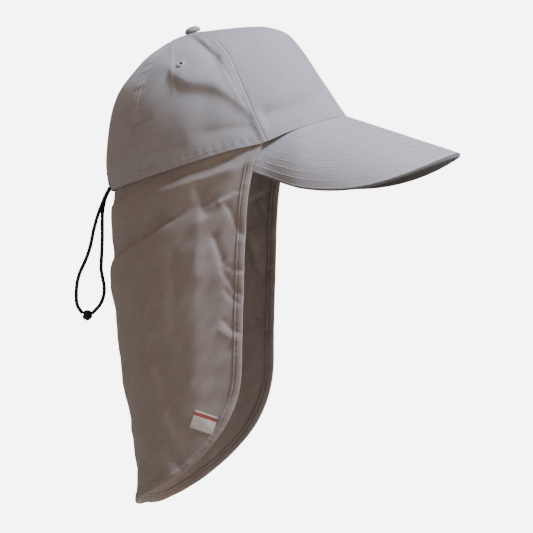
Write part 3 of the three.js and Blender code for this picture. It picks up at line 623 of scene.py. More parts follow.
def cloth(name, colour, roughness=0.85, sheen=0.25, threads=TWILL_THREADS, depth=TWILL_DEPTH):
    """A woven cotton material: the weave group tints the colour and drives a bump."""
    material, tree, shader = new_material(name, colour, roughness)
    shader.inputs["Specular IOR Level"].default_value = CLOTH_SHINE
    shader.inputs["Sheen Weight"].default_value = sheen
    shader.inputs["Sheen Roughness"].default_value = SHEEN_ROUGHNESS
    uv = tree.nodes.new("ShaderNodeUVMap")
    uv.uv_map = "cloth"
    weave = tree.nodes.new("ShaderNodeGroup")
    weave.node_tree = WEAVE
    weave.inputs["Threads per metre"].default_value = threads
    tree.links.new(uv.outputs["UV"], weave.inputs["Cloth UV"])
    tinted = tree.nodes.new("ShaderNodeVectorMath")
    tinted.operation = "SCALE"
    tinted.inputs[0].default_value = colour
    tree.links.new(weave.outputs["Tint"], tinted.inputs["Scale"])
    tree.links.new(tinted.outputs[0], shader.inputs["Base Color"])
    bump(tree, shader, weave.outputs["Height"], depth, WEAVE_STRENGTH)
    return material


def sewing_thread(name, colour):
    """Spun cotton thread: a smoother and much finer cloth."""
    return cloth(name, colour, roughness=0.7, sheen=0.1, threads=2 * TWILL_THREADS, depth=TWILL_DEPTH / 3)


cloth_material = cloth("cotton_twill", CLOTH_COLOUR)

# The panels: name, solid that each stands for, its two seams, and the columns and rows of its grid.
PANELS = [
    ("front_cloth", "front_panel", -FRONT_SEAM, FRONT_SEAM, 170, 130),
    ("side_cloth_right", "side_panel_right", -BACK_SEAM, -FRONT_SEAM, 120, 150),
    ("side_cloth_left", "side_panel_left", FRONT_SEAM, BACK_SEAM, 100, 120),
    ("back_cloth_right", "back_panel_right", -MIDDLE_SEAM, -BACK_SEAM, 90, 130),
    ("back_cloth_left", "back_panel_left", BACK_SEAM, MIDDLE_SEAM, 90, 130),
]
panels = [make_panel(*row) for row in PANELS]

STITCH_PITCH = 2.6
STITCH_LENGTH = 2.0
STITCH_WIDTH = 0.52
STITCH_SIDES = 6
# One stitch from end to end: place along it and thickness, as shares, and height in millimetres.
STITCH_SHAPE = [
    (-0.50, 0.25, -0.20),
    (-0.42, 0.85, 0.02),
    (-0.15, 1.00, 0.12),
    (0.15, 1.00, 0.12),
    (0.42, 0.85, 0.02),
    (0.50, 0.25, -0.20),
]
# The rows beside the seams end short of the rim and the top, where they may be this far apart in degrees.
SEAM_ROW_START = 0.008
SEAM_ROW_END = 0.93
SEAM_ROW_POINTS = 240
SEAM_ROW_WIDEST = 14.0
RIM_ROW_END = 179.5
RIM_ROW_POINTS = 700
THREAD_COLOUR = (0.49, 0.455, 0.43)


def stitches(name, rows, material):
    """Sewn thread: one short six-sided bar for each stitch, its ends sunk in the cloth and closed with
    two faces. Each row is a list of points and outward normals along the sewing line, evenly spaced by
    the stitch pitch."""
    spots = np.concatenate([points[:-1] * 0.5 + points[1:] * 0.5 for points, _ in rows])
    along = unit(np.concatenate([points[1:] - points[:-1] for points, _ in rows]))
    outward = np.concatenate([normals[:-1] for _, normals in rows])
    outward = unit(outward - along * np.sum(along * outward, axis=1, keepdims=True))
    across = np.cross(outward, along)
    run, thick, rise = np.array(STITCH_SHAPE).T
    thick = thick[:, None] * STITCH_WIDTH / 2
    turn = 2 * np.pi * np.arange(STITCH_SIDES) / STITCH_SIDES
    size = len(run) * STITCH_SIDES
    forwards = along[:, None, None] * (run * STITCH_LENGTH)[None, :, None, None]
    sideways = across[:, None, None] * (thick * np.cos(turn))[None, :, :, None]
    upwards = outward[:, None, None] * (rise[:, None] + thick * np.sin(turn))[None, :, :, None]
    points = (spots[:, None, None] + forwards + sideways + upwards).reshape(-1, 3)
    quads, _, _ = rows_of_rings(len(run), STITCH_SIDES)
    starts = (np.arange(len(spots)) * size)[:, None, None]
    first_cap = np.array([[0, 3, 2, 1], [0, 5, 4, 3]])
    caps = np.concatenate([first_cap, first_cap[:, ::-1] + size - STITCH_SIDES])
    faces = (np.concatenate([quads, caps])[None] + starts).reshape(-1, 4)
    thread = mesh_object(name, points, faces, None, np.zeros((faces.size, 2)))
    thread.data.materials.append(material)
    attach(thread, "root")
    return thread


def evenly(points, normals):
    """The same line and its normals, read again at even steps of about the stitch pitch."""
    lengths = lengths_along(points)
    even = np.linspace(0, lengths[-1], max(int(lengths[-1] / STITCH_PITCH), 2))
    return at_lengths(even, lengths, points), at_lengths(even, lengths, normals)


def surface_normals(surface, first, second):
    """The normals of a surface at two lists of its parameters, square to its slopes along both."""
    step, fine_step = 0.02, 0.001
    by_first = surface(first + step, second) - surface(first - step, second)
    by_second = surface(first, second + fine_step) - surface(first, second - fine_step)
    return unit(np.cross(by_first, by_second))


def surface_line(surface, first, second):
    """A sewing line on a surface given by two lists of its parameters, with its normals."""
    return evenly(surface(first, second), surface_normals(surface, first, second))


thread_material = sewing_thread("sewing_thread", THREAD_COLOUR)
seam_rows = []
shares = np.linspace(SEAM_ROW_START, SEAM_ROW_END, SEAM_ROW_POINTS)
for seam in (-MIDDLE_SEAM, -BACK_SEAM, -FRONT_SEAM, FRONT_SEAM, BACK_SEAM):
    step = 0.5
    forward, sideways, _ = crown_form(np.full(SEAM_ROW_POINTS, seam), shares)
    ahead, aside, _ = crown_form(np.full(SEAM_ROW_POINTS, seam + step), shares)
    per_degree = np.hypot(ahead - forward, aside - sideways) / step
    for side in (-1, 1):
        offset = side * np.minimum(STITCH_OFFSET / per_degree, SEAM_ROW_WIDEST)
        seam_rows.append(surface_line(crown_point, seam + offset, shares))
angles = np.linspace(-RIM_ROW_END, RIM_ROW_END, RIM_ROW_POINTS)
seam_rows.append(surface_line(crown_point, angles, np.full(RIM_ROW_POINTS, RIM_STITCH_SHARE)))
crown_thread = stitches("crown_thread", seam_rows, thread_material)

# The eyelets: air holes in the side panels, each overcast with pale thread into a raised ring. A dark
# disc of painted shade inside the ring stands for the shaded hole, and the panel behind it is whole.
EYELET_ANGLE = 95.0
EYELET_SHARE = 0.535
EYELET_DIAMETER = 6.6
EYELET_HOLE = 2.6
# Both rings lean this many degrees towards the wearer's right.
EYELET_LEAN = 1.0
EYELET_LIFT = 0.35
EYELET_THICKNESS = 1.5
EYELET_SIDES = 72
EYELET_ROUND_SIDES = 16
EYELET_THREADS = 34
EYELET_COLOUR = (0.50, 0.45, 0.38)
EYELET_ROUGHNESS = 0.6
EYELET_THREAD_DEPTH = 0.0001
EYELET_THREAD_STRENGTH = 0.7
HOLE_SPREAD = 1.15
HOLE_FLOOR = (-0.3, 0.12)
HOLE_SIDES = 32
# Painted shade: the dark inside of the cap as seen through the hole.
HOLE_SHADE_COLOUR = (0.02, 0.017, 0.015)
HOLE_ROUGHNESS = 0.9

eyelet_material, tree, shader = new_material("overcast_thread", EYELET_COLOUR, EYELET_ROUGHNESS)
around, along = uv_axes(tree)
ridges = math_node(tree, "SINE", math_node(tree, "MULTIPLY", around, 2 * math.pi * EYELET_THREADS))
bump(tree, shader, ridges, EYELET_THREAD_DEPTH, EYELET_THREAD_STRENGTH)
# The hole's disc is painted shade for the hole.
hole_shade_material, tree, shader = new_material("painted_hole_shade", HOLE_SHADE_COLOUR, HOLE_ROUGHNESS)


def ring_about(centre, normal, profile, sides):
    """Rings of points where a profile of radius and height is turned about a normal at a centre."""
    normal = unit(normal)
    first = unit(np.cross(normal, [0.0, 0.0, 1.0]))
    second = np.cross(normal, first)
    turn = 2 * np.pi * np.arange(sides) / sides
    spoke = np.cos(turn)[:, None] * first + np.sin(turn)[:, None] * second
    radius, height = np.array(profile, float).T
    return centre + radius[:, None, None] * spoke[None] + height[:, None, None] * normal


def make_eyelet(name, node, angle):
    """A flattened ring of thread on the crown at an angle, with a dark disc of painted shade closing the
    hole in it.
    """
    share = np.array([EYELET_SHARE])
    centre = crown_point(np.array([angle]), share)[0]
    normal = surface_normals(crown_point, np.array([angle - EYELET_LEAN]), share)[0]
    outer_radius, inner_radius = EYELET_DIAMETER / 2, EYELET_HOLE / 2
    turn = 2 * np.pi * np.arange(EYELET_ROUND_SIDES) / EYELET_ROUND_SIDES
    radius = (outer_radius + inner_radius) / 2 + (outer_radius - inner_radius) / 2 * np.cos(turn)
    height = EYELET_LIFT + EYELET_THICKNESS / 2 * np.sin(turn)
    rings = ring_about(centre, normal, np.stack([radius, height], -1), EYELET_SIDES)
    _, corner_rows, corner_sides = rows_of_rings(EYELET_ROUND_SIDES + 1, EYELET_SIDES)
    quads = (corner_rows % EYELET_ROUND_SIDES) * EYELET_SIDES + corner_sides % EYELET_SIDES
    uv = np.stack([corner_sides / EYELET_SIDES, corner_rows / EYELET_ROUND_SIDES], -1).reshape(-1, 2)
    eyelet = mesh_object(name, rings.reshape(-1, 3), quads, None, uv)
    eyelet.data.materials.append(eyelet_material)
    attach(eyelet, "root")
    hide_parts(node)
    disc_profile = [(inner_radius * HOLE_SPREAD, height) for height in HOLE_FLOOR]
    disc_rings = ring_about(centre, normal, disc_profile, HOLE_SIDES)
    disc = closed_tube(name + "_hole", disc_rings, [0, 1], 1.0)
    disc.data.materials.append(hole_shade_material)
    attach(disc, "root")


make_eyelet("eyelet_thread_right", "eyelet_right", -EYELET_ANGLE)
make_eyelet("eyelet_thread_left", "eyelet_left", EYELET_ANGLE)

# The button: a small domed button covered in the crown's cloth. It sits over the tips of the panels,
# where all their seams meet.
BUTTON_DIAMETER = 13.0
BUTTON_HEIGHT = 5.0
BUTTON_GAP = 0.2
BUTTON_ROWS = 50
BUTTON_SIDES = 64
BUTTON_CLOTH_LENGTH = 12.0
BUTTON_CLOTH_ROUND = 40.0
# The dome from its underside to its top: radius and height as shares of the whole.
BUTTON_RADII = [0.35, 0.80, 0.93, 1.00, 1.00, 0.95, 0.85, 0.70, 0.52, 0.320, 0.12]
BUTTON_RISES = [0.00, 0.00, 0.05, 0.18, 0.32, 0.50, 0.68, 0.83, 0.93, 0.985, 1.00]

position = np.linspace(0, len(BUTTON_RADII) - 1, BUTTON_ROWS)
button_radius = between(BUTTON_RADII, position) * BUTTON_DIAMETER / 2
button_rise = between(BUTTON_RISES, position) * BUTTON_HEIGHT + BUTTON_GAP
crown_top = place_on_rim(APEX_LEAN, 0.0, CROWN_HEIGHT)
top_normal = place_on_rim(0.0, 0.0, 1.0)
button_rings = ring_about(crown_top, top_normal, np.stack([button_radius, button_rise], -1), BUTTON_SIDES)
button_run = np.linspace(0, BUTTON_CLOTH_LENGTH * MM, BUTTON_ROWS)
button = closed_tube("button_cloth", button_rings, button_run, BUTTON_CLOTH_ROUND * MM)
button.data.materials.append(cloth_material)
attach(button, "root")
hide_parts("button")

# The peak: two layers of twill over a bendy board, sewn to the rim of the front panel and stitched
# through in rows that follow its free edge. It arches so far that its sides stand almost upright.
PEAK_LENGTH = 98.5
PEAK_SLOPE = math.radians(18)
PEAK_WALL = 2.6
PEAK_HALF_ARCH = 94.0
PEAK_CORNER = 78.0
PEAK_SIDE_REACH = 63.2
PEAK_SIDE_START = 36.0
PEAK_ROUNDNESS = 1.79
PEAK_GAP = 0.2
PEAK_ROOT_GAP = 0.3
PEAK_CORNER_INSET = 6.4
PEAK_TUCK_FRONT = 72.0
PEAK_TUCK_BACK = 40.0
PEAK_UNDERLAP = 6.0
PEAK_ROOT_POWER = 0.7
# The rows of stitches, by their distance in from the free edge, and how far they end from the root.
PEAK_STITCH_ROWS = [3.0, 10.0, 17.0, 24.0, 31.0, 38.0, 45.0, 52.0]
PEAK_STITCH_DIP = 0.06
PEAK_STITCH_DIP_WIDTH = 0.8
PEAK_STITCH_MARGIN = 2.0
PEAK_ROW_POINTS = 500
PEAK_ROW_END_POINTS = 19
PALE_THREAD_COLOUR = (0.60, 0.57, 0.55)
# Distance from the middle of the peak's superellipse to its edge, for measuring in from the edge.
PEAK_ARC_SIZE = 120.0
PEAK_EDGE_ROUND = 2.0
# The upper face takes the dark colour this far in from the free edge.
PEAK_EDGE_LINE = 1.5
# A dark colour for the underside, the edge strip and that band of the upper face.
PEAK_DARK_COLOUR = (0.115, 0.105, 0.085)
PEAK_WAVE = 0.10
PEAK_WAVE_LENGTH = 30.0
PEAK_WAVE_SEED = 11
# Millimetres of cloth to a degree round the arch, for the waves and for the weave.
PEAK_WAVE_DEGREE = 1.4
PEAK_CLOTH_DEGREE = 1.35
PEAK_COLUMNS = 230
PEAK_ROWS = 120
PEAK_ROW_CROWDING = 0.8
# The columns are half evenly spaced, and half crowded to the sides by this share of a quarter turn.
PEAK_COLUMN_TURN = 0.96 * math.pi / 2
RIM_SLOPE = RIM_TILT + PEAK_SLOPE


def peak_arch(angle):
    """The rim seen along the peak: how far aside, how high and how far forward it is at an angle."""
    turn = np.radians(angle)
    droop = CROWN_HEIGHT * SIDE_UP[0] * np.sin(turn) ** 2
    forward = RIM_HALF_LENGTH * np.cos(turn)
    rise = forward * math.sin(RIM_SLOPE) + droop * math.cos(RIM_SLOPE)
    reach = forward * math.cos(RIM_SLOPE) - droop * math.sin(RIM_SLOPE)
    return RIM_HALF_WIDTH * np.sin(turn), rise, reach


def peak_inset(forward):
    """How far the peak lies inside the rim's arch: its corners slip inside the crown and the flap."""
    return mix(PEAK_CORNER_INSET, PEAK_GAP, smoothstep(forward, PEAK_TUCK_BACK, PEAK_TUCK_FRONT))


def peak_ends(angle):
    """Reach of the root and of the free edge. The root follows the rim in front, is tucked up inside
    the crown beside it and falls back behind its corner. The edge is part of a superellipse."""
    size = np.abs(angle)
    _, rise, reach = peak_arch(np.minimum(size, PEAK_CORNER))
    inset = peak_inset(reach * math.cos(PEAK_SLOPE) + rise * math.sin(PEAK_SLOPE))
    tucked = PEAK_UNDERLAP * smoothstep(inset, CROWN_WALL + 2 * PEAK_GAP, PEAK_CORNER_INSET)
    beyond = np.clip((size - PEAK_CORNER) / (PEAK_HALF_ARCH - PEAK_CORNER), 0, 1)
    root = mix(reach + PEAK_ROOT_GAP - tucked, PEAK_SIDE_START, beyond ** PEAK_ROOT_POWER)
    tip = peak_arch(0.0)[2] + PEAK_LENGTH
    share = np.clip(size / PEAK_HALF_ARCH, 0, 1)
    edge = mix(PEAK_SIDE_REACH, tip, (1 - share ** PEAK_ROUNDNESS) ** (1 / PEAK_ROUNDNESS))
    return root, edge, tip


def peak_at(angle, reach, rounding=1.0):
    """A point of the peak's upper face at an angle round the arch and a reach along it: a point of the
    arch moved inwards, square to it, by the tuck, the dips of the stitches and slight waves. Beside the
    free edge the face turns down through a quarter circle, unless the rounding is nought."""
    sideways, rise, _ = peak_arch(angle)
    turn = np.radians(angle)
    normal_aside = np.sin(turn) / RIM_HALF_WIDTH
    normal_rise = np.cos(turn) / (RIM_HALF_LENGTH * math.sin(RIM_SLOPE))
    size = np.hypot(normal_aside, normal_rise)
    inset = peak_inset(reach * math.cos(PEAK_SLOPE) + rise * math.sin(PEAK_SLOPE))
    distance = peak_edge_distance(angle, reach)
    dip = sum(PEAK_STITCH_DIP * bell(distance, row, PEAK_STITCH_DIP_WIDTH) for row in PEAK_STITCH_ROWS)
    near_edge = np.clip(1 - distance / PEAK_EDGE_ROUND, 0, 1)
    dip += rounding * PEAK_WALL / 2 * (1 - np.sqrt(1 - near_edge ** 2))
    wave = PEAK_WAVE * waves(angle * PEAK_WAVE_DEGREE, reach, PEAK_WAVE_LENGTH, PEAK_WAVE_SEED)
    inset = inset + dip + wave
    sideways = sideways - inset * normal_aside / size
    rise = rise - inset * normal_rise / size
    forward = reach * math.cos(PEAK_SLOPE) + rise * math.sin(PEAK_SLOPE)
    return place(forward, sideways, rise * math.cos(PEAK_SLOPE) - reach * math.sin(PEAK_SLOPE))


def peak_edge_distance(angle, reach):
    """Distance in from the free edge, from how far inside the edge's superellipse a point lies."""
    _, _, tip = peak_ends(0.0)
    out = np.clip((reach - PEAK_SIDE_REACH) / (tip - PEAK_SIDE_REACH), 0, 1)
    around = np.abs(angle) / PEAK_HALF_ARCH
    level = (out ** PEAK_ROUNDNESS + around ** PEAK_ROUNDNESS) ** (1 / PEAK_ROUNDNESS)
    return (1 - level) * PEAK_ARC_SIZE


def plain_peak_at(angle, reach):
    """The peak's upper face without its rounded edge, which the inner face follows."""
    return peak_at(angle, reach, 0.0)


even = np.linspace(-1, 1, PEAK_COLUMNS)
to_sides = np.sin(even * PEAK_COLUMN_TURN) / math.sin(PEAK_COLUMN_TURN)
peak_angle = PEAK_HALF_ARCH * mix(to_sides, even, 0.5)[None]
root, edge, _ = peak_ends(peak_angle)
peak_reach = mix(edge, root, crowded(PEAK_ROWS, PEAK_ROW_CROWDING)[:, None])
peak_angles = np.broadcast_to(peak_angle, peak_reach.shape)
turn_step, reach_step = 0.05, 0.1
further_round = plain_peak_at(peak_angles + turn_step, peak_reach)
less_round = plain_peak_at(peak_angles - turn_step, peak_reach)
further_out = plain_peak_at(peak_angles, peak_reach + reach_step)
less_out = plain_peak_at(peak_angles, peak_reach - reach_step)
normal = unit(np.cross(further_out - less_out, further_round - less_round))
peak_points = peak_at(peak_angles, peak_reach)
peak_inner = plain_peak_at(peak_angles, peak_reach) - normal * PEAK_WALL
peak_uv = np.stack([peak_angles * PEAK_CLOTH_DEGREE, peak_reach], -1) * MM
peak = shell_object("peak_cloth", peak_points, PEAK_WALL, peak_uv, peak_inner)
peak.data.materials.append(cloth_material)
peak.data.materials.append(cloth("peak_dark_faces", PEAK_DARK_COLOUR))
# Everything but the upper face is dark, and so are its faces beside the edge, by their middles.
distance = peak_edge_distance(peak_angles, peak_reach)
face_distance = (distance[:-1, :-1] + distance[1:, :-1] + distance[:-1, 1:] + distance[1:, 1:]) / 4
dark_faces = np.ones(len(peak.data.polygons), int)
dark_faces[:face_distance.size] = (face_distance < PEAK_EDGE_LINE).ravel()
peak.data.polygons.foreach_set("material_index", dark_faces)
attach(peak, "root")
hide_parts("peak")


def peak_row(distance):
    """A row of stitches at a distance in from the free edge: the superellipse of that level, with a
    straight run back to the root at both of its ends."""
    level = 1 - distance / PEAK_ARC_SIZE
    angle = PEAK_HALF_ARCH * level * np.sin(np.linspace(-1, 1, PEAK_ROW_POINTS) * np.pi / 2)
    _, _, tip = peak_ends(0.0)
    around = np.abs(angle) / PEAK_HALF_ARCH
    out = np.maximum(level ** PEAK_ROUNDNESS - around ** PEAK_ROUNDNESS, 0) ** (1 / PEAK_ROUNDNESS)
    reach = PEAK_SIDE_REACH + (tip - PEAK_SIDE_REACH) * out
    start = peak_ends(angle[0])[0] + PEAK_STITCH_MARGIN
    straight = np.linspace(start, reach[0], PEAK_ROW_END_POINTS + 1)[:-1]
    still = np.ones(PEAK_ROW_END_POINTS)
    angle = np.concatenate([still * angle[0], angle, still * angle[-1]])
    reach = np.concatenate([straight, reach, straight[::-1]])
    kept = reach > peak_ends(angle)[0] + PEAK_STITCH_MARGIN
    points, normals = surface_line(peak_at, angle[kept], reach[kept])
    return points, -normals


pale_thread = sewing_thread("pale_thread", PALE_THREAD_COLOUR)
peak_rows = [peak_row(distance) for distance in PEAK_STITCH_ROWS]
peak_thread = stitches("peak_thread", peak_rows, pale_thread)

# The neck flap: one layer of lighter twill sewn inside the rim from behind the right temple round the
# back to the left. It hangs freely in folds, and is wider than the neck that it covers.
FLAP_DROP = 284.5
FLAP_STRAIGHT = 167.0
FLAP_WALL = 0.9
FLAP_INSET = 3.1
FLAP_TUCK = 4.0
FLAP_BLEND = 20.0
FLAP_ROUNDNESS = 2.15
FLAP_SKEW = 3.0
FLAP_EDGE_TURN = 1.5
FLAP_SIDE_START = 0.05
FLAP_COLOUR = (0.298, 0.247, 0.208)
FLAP_SHEEN = 0.3
# The hem sags on the wearer's left, between these shares of the way round.
HEM_SAG = 6.5
HEM_SAG_START = (0.05, 0.40)
HEM_SAG_END = (0.45, 0.85)
# Creases and waves fade in below the rim. The fine waves differ on the two sides.
FLAP_FADE = 14.0
FLAP_WAVE_LENGTH = 42.0
FLAP_WAVE_SEED = 8
FLAP_FINE_WAVE = 0.32
FLAP_FINE_WAVE_LENGTH = 15.0
FLAP_FINE_WAVE_SEED = 9
FLAP_FINE_WAVE_SHIFT = 60.0
BINDING_WIDTH = 7.0
FLAP_UNDER_BINDING = 0.3
# The cloth's length from the middle of the back to a front edge, for the weave.
FLAP_SPAN = 190.0
FLAP_COLUMNS = 118
FLAP_ROWS = 200
FLAP_ROW_CROWDING = 1.35
# How far the columns crowd to the corners, and the share from which a column lies on the front edge.
FLAP_EDGE_CROWDING = 0.6
FLAP_FRONT_SHARE = 0.9999
# How finely the level sections are worked out before the grid is read from them, and how far above the
# rim's middle and below the hem they go.
SECTION_TURNS = 121
SECTION_SIDES = 20
SECTION_LEVELS = 400
SECTION_SHARES = 300
SECTION_ABOVE = 45.0
SECTION_BELOW = 15.0
# Level by level from the rim down: depth below the rim's middle as a share of the drop, reach back and
# front edge as shares of the half length, side as a share of the half width, and how square the back is.
FLAP_DOWN = [-0.050, 0.056, 0.130, 0.228, 0.334, 0.446, 0.552, 0.643, 0.759, 0.872, 1.000]
FLAP_BACK = [0.937, 0.937, 0.941, 0.948, 0.948, 0.912, 0.876, 0.833, 0.776, 0.736, 0.706]
FLAP_FRONT = [0.360, 0.317, 0.286, 0.269, 0.260, 0.250, 0.244, 0.244, 0.244, 0.244, 0.244]
FLAP_SIDE = [0.970, 0.980, 0.995, 1.010, 1.020, 1.025, 1.025, 1.025, 1.025, 1.025, 1.025]
FLAP_SQUARE = [2.0, 2.0, 2.1, 2.2, 2.3, 2.4, 2.5, 2.6, 2.8, 2.9, 3.0]
# Creases seen from the wearer's right, as in the crown's table, with paths forward and up in shares of
# the half length and the drop.
FLAP_FOLDS = [
    (3.9, 15.0, 2.0, [(-1.020, -0.313), (-0.840, -0.284), (-0.677, -0.253), (-0.524, -0.223),
                      (-0.369, -0.188), (-0.300, -0.172)]),
    (1.5, 7.0, 4.5, [(-0.420, -0.200), (-0.318, -0.180), (-0.218, -0.162), (-0.135, -0.148),
                     (0.061, -0.125), (0.208, -0.107), (0.300, -0.090)]),
    (-2.3, 1.8, 11.0, [(-0.990, -0.160), (-0.870, -0.147), (-0.780, -0.136), (-0.613, -0.098),
                       (-0.472, -0.075), (-0.352, -0.046)]),
    (1.6, 3.0, 3.0, [(-0.400, -0.145), (-0.437, -0.160), (-0.507, -0.189), (-0.570, -0.215)]),
    (1.5, 9.0, 4.0, [(-0.125, -0.070), (-0.118, -0.097), (-0.102, -0.125), (-0.069, -0.159),
                     (-0.050, -0.185)]),
    (1.0, 4.0, 4.0, [(-0.350, -0.075), (-0.250, -0.062), (0.100, -0.018), (0.200, -0.005)]),
    (-2.2, 6.0, 9.0, [(-0.560, -0.128), (-0.400, -0.105), (-0.200, -0.085), (0.100, -0.050),
                      (0.280, -0.030)]),
    (-1.0, 2.5, 3.5, [(0.030, -0.140), (0.077, -0.133), (0.159, -0.116), (0.273, -0.105)]),
    (1.2, 5.0, 3.0, [(0.100, -0.130), (0.126, -0.147), (0.167, -0.176), (0.224, -0.216), (0.270, -0.250)]),
    (1.6, 6.0, 3.0, [(0.005, -0.215), (0.028, -0.244), (0.061, -0.279), (0.105, -0.315)]),
    (1.1, 4.5, 2.8, [(0.040, -0.295), (0.101, -0.312), (0.224, -0.324), (0.320, -0.330)]),
    (1.2, 5.0, 2.8, [(0.060, -0.310), (0.093, -0.330), (0.142, -0.358), (0.224, -0.392), (0.270, -0.415)]),
    (1.0, 4.0, 2.6, [(0.090, -0.370), (0.126, -0.387), (0.191, -0.409), (0.256, -0.426)]),
    (0.9, 4.0, 2.6, [(0.080, -0.455), (0.110, -0.472), (0.191, -0.495), (0.273, -0.512)]),
    (-1.2, 5.0, 5.0, [(0.040, -0.485), (0.110, -0.501), (0.159, -0.512), (0.240, -0.520)]),
    (-1.4, 9.0, 8.0, [(-0.095, -0.150), (-0.110, -0.260), (-0.120, -0.380)]),
    (-1.7, 14.0, 16.0, [(-0.120, -0.240), (-0.150, -0.560), (-0.180, -0.700)]),
    (1.2, 7.0, 9.0, [(-0.330, -0.230), (-0.300, -0.400), (-0.340, -0.560)]),
    (-1.1, 8.0, 8.0, [(-0.600, -0.360), (-0.560, -0.500), (-0.620, -0.680)]),
    (1.7, 10.0, 8.0, [(-0.500, -0.480), (-0.437, -0.567), (-0.326, -0.718), (-0.280, -0.800)]),
    (1.5, 8.0, 8.0, [(-0.800, -0.780), (-0.631, -0.839), (-0.437, -0.915), (-0.300, -0.960)]),
    (1.3, 5.0, 5.0, [(-0.450, -0.780), (-0.377, -0.815), (-0.293, -0.860), (-0.220, -0.900)]),
    (1.3, 12.0, 9.0, [(-0.780, -0.350), (-0.760, -0.450), (-0.700, -0.880), (-0.690, -0.980)]),
]


def rim_line():
    """The line inside the rim that the flap hangs from, from the back to the front seam."""
    turn = np.radians(np.linspace(MIDDLE_SEAM, FRONT_SEAM, SECTION_TURNS))
    forward = (RIM_HALF_LENGTH - FLAP_INSET) * np.cos(turn) * math.cos(RIM_TILT)
    return np.stack([forward, (RIM_HALF_WIDTH - FLAP_INSET) * np.sin(turn)], -1)


def flap_sections(down):
    """The hanging flap's level section at many heights: a superellipse for the back quarter, and a
    nearly straight side in front of it."""
    row = np.interp(down, np.array(FLAP_DOWN) * FLAP_DROP, np.arange(len(FLAP_DOWN)))
    back = between(FLAP_BACK, row)[:, None] * RIM_HALF_LENGTH
    front = between(FLAP_FRONT, row)[:, None] * RIM_HALF_LENGTH
    half = between(FLAP_SIDE, row)[:, None] * RIM_HALF_WIDTH
    power = 2 / between(FLAP_SQUARE, row)[:, None]
    turn = np.radians(np.linspace(0, 90, SECTION_TURNS))[None]
    curve = np.stack([-back * np.abs(np.cos(turn)) ** power, half * np.sin(turn) ** power], -1)
    share = np.linspace(FLAP_SIDE_START, 1, SECTION_SIDES)[None]
    straight = np.stack([front * share, half - FLAP_EDGE_TURN * share ** 2], -1)
    return np.concatenate([curve, straight], axis=1)


RIM_LINE = rim_line()
RIM_LENGTHS = lengths_along(RIM_LINE)


def rim_at(size):
    """Forward and sideways of the line inside the rim, at a share of the way from the back to the front."""
    wanted = size * RIM_LENGTHS[-1]
    return np.interp(wanted, RIM_LENGTHS, RIM_LINE[:, 0]), np.interp(wanted, RIM_LENGTHS, RIM_LINE[:, 1])


def rim_height(size):
    """How high the rim is above its middle at a share of the way from the back to the front edge."""
    forward, sideways = rim_at(size)
    droop = CROWN_HEIGHT * SIDE_UP[0] * (sideways / RIM_HALF_WIDTH) ** 2
    return forward * math.tan(RIM_TILT) + droop * math.cos(RIM_TILT)


def flap_tables():
    """Forward and sideways of the hanging flap on a grid of heights and shares along its length, and
    its half length at each height."""
    downs = np.linspace(-SECTION_ABOVE, FLAP_DROP + SECTION_BELOW, SECTION_LEVELS)
    sections = flap_sections(downs)
    lengths = lengths_along(sections)
    shares = np.linspace(0, 1, SECTION_SHARES)
    forward = np.empty((len(downs), len(shares)))
    sideways = np.empty_like(forward)
    for row in range(len(downs)):
        wanted = shares * lengths[row, -1]
        forward[row] = np.interp(wanted, lengths[row], sections[row, :, 0])
        sideways[row] = np.interp(wanted, lengths[row], sections[row, :, 1])
    blend = smoothstep(rim_height(1.0) + downs, 0, FLAP_BLEND)
    return downs, shares, forward, sideways, mix(RIM_LENGTHS[-1], lengths[:, -1], blend)


FLAP_DOWNS, FLAP_SHARES, FLAP_FORWARD, FLAP_SIDEWAYS, FLAP_LENGTHS = flap_tables()


def from_table(table, down, size):
    """A value of a table at any height and share, mixed from the four nearest."""
    row = np.clip((down - FLAP_DOWNS[0]) / (FLAP_DOWNS[1] - FLAP_DOWNS[0]), 0, len(FLAP_DOWNS) - 1.001)
    column = np.clip(size / (FLAP_SHARES[1] - FLAP_SHARES[0]), 0, len(FLAP_SHARES) - 1.001)
    low, left = row.astype(int), column.astype(int)
    up, right = row - low, column - left
    lower = mix(table[low, left], table[low, left + 1], right)
    upper = mix(table[low + 1, left], table[low + 1, left + 1], right)
    return mix(lower, upper, up)


def flap_point(share, height):
    """The flap's outer face, from -1 at the right front edge to 1 at the left one: the line inside the
    rim blended into the hanging sections below it, and pushed in by the creases and waves."""
    share, height = np.broadcast_arrays(np.asarray(share, float), np.asarray(height, float))
    side = np.where(share < 0, -1.0, 1.0)
    size = np.minimum(np.abs(share), 1)
    below = rim_height(size) - height
    rim_forward, rim_sideways = rim_at(size)
    blend = smoothstep(below, 0, FLAP_BLEND)
    tucked = np.maximum(-below, 0) * math.tan(RIM_TILT)
    forward = mix(rim_forward, from_table(FLAP_FORWARD, -height, size), blend) - tucked
    sideways = mix(rim_sideways, from_table(FLAP_SIDEWAYS, -height, size), blend)
    strength = mix(1, HIDDEN_SIDE, smoothstep(side * sideways, -SIDE_CHANGE, SIDE_CHANGE))
    dent = fold_depth(FLAP_FOLDS, forward, height, RIM_HALF_LENGTH, FLAP_DROP)
    dent += waves(forward, height, FLAP_WAVE_LENGTH, FLAP_WAVE_SEED)
    shifted = forward - FLAP_FINE_WAVE_SHIFT * side
    dent += FLAP_FINE_WAVE * waves(shifted, height, FLAP_FINE_WAVE_LENGTH, FLAP_FINE_WAVE_SEED)
    dent *= smoothstep(below, 0, FLAP_FADE) * strength
    out_forward = np.minimum(forward, 0) / RIM_HALF_LENGTH
    out_sideways = sideways / RIM_HALF_WIDTH
    out_size = np.maximum(np.hypot(out_forward, out_sideways), 1e-6)
    moved_forward = forward - dent * out_forward / out_size
    return place(moved_forward, side * (sideways - dent * out_sideways / out_size), height)


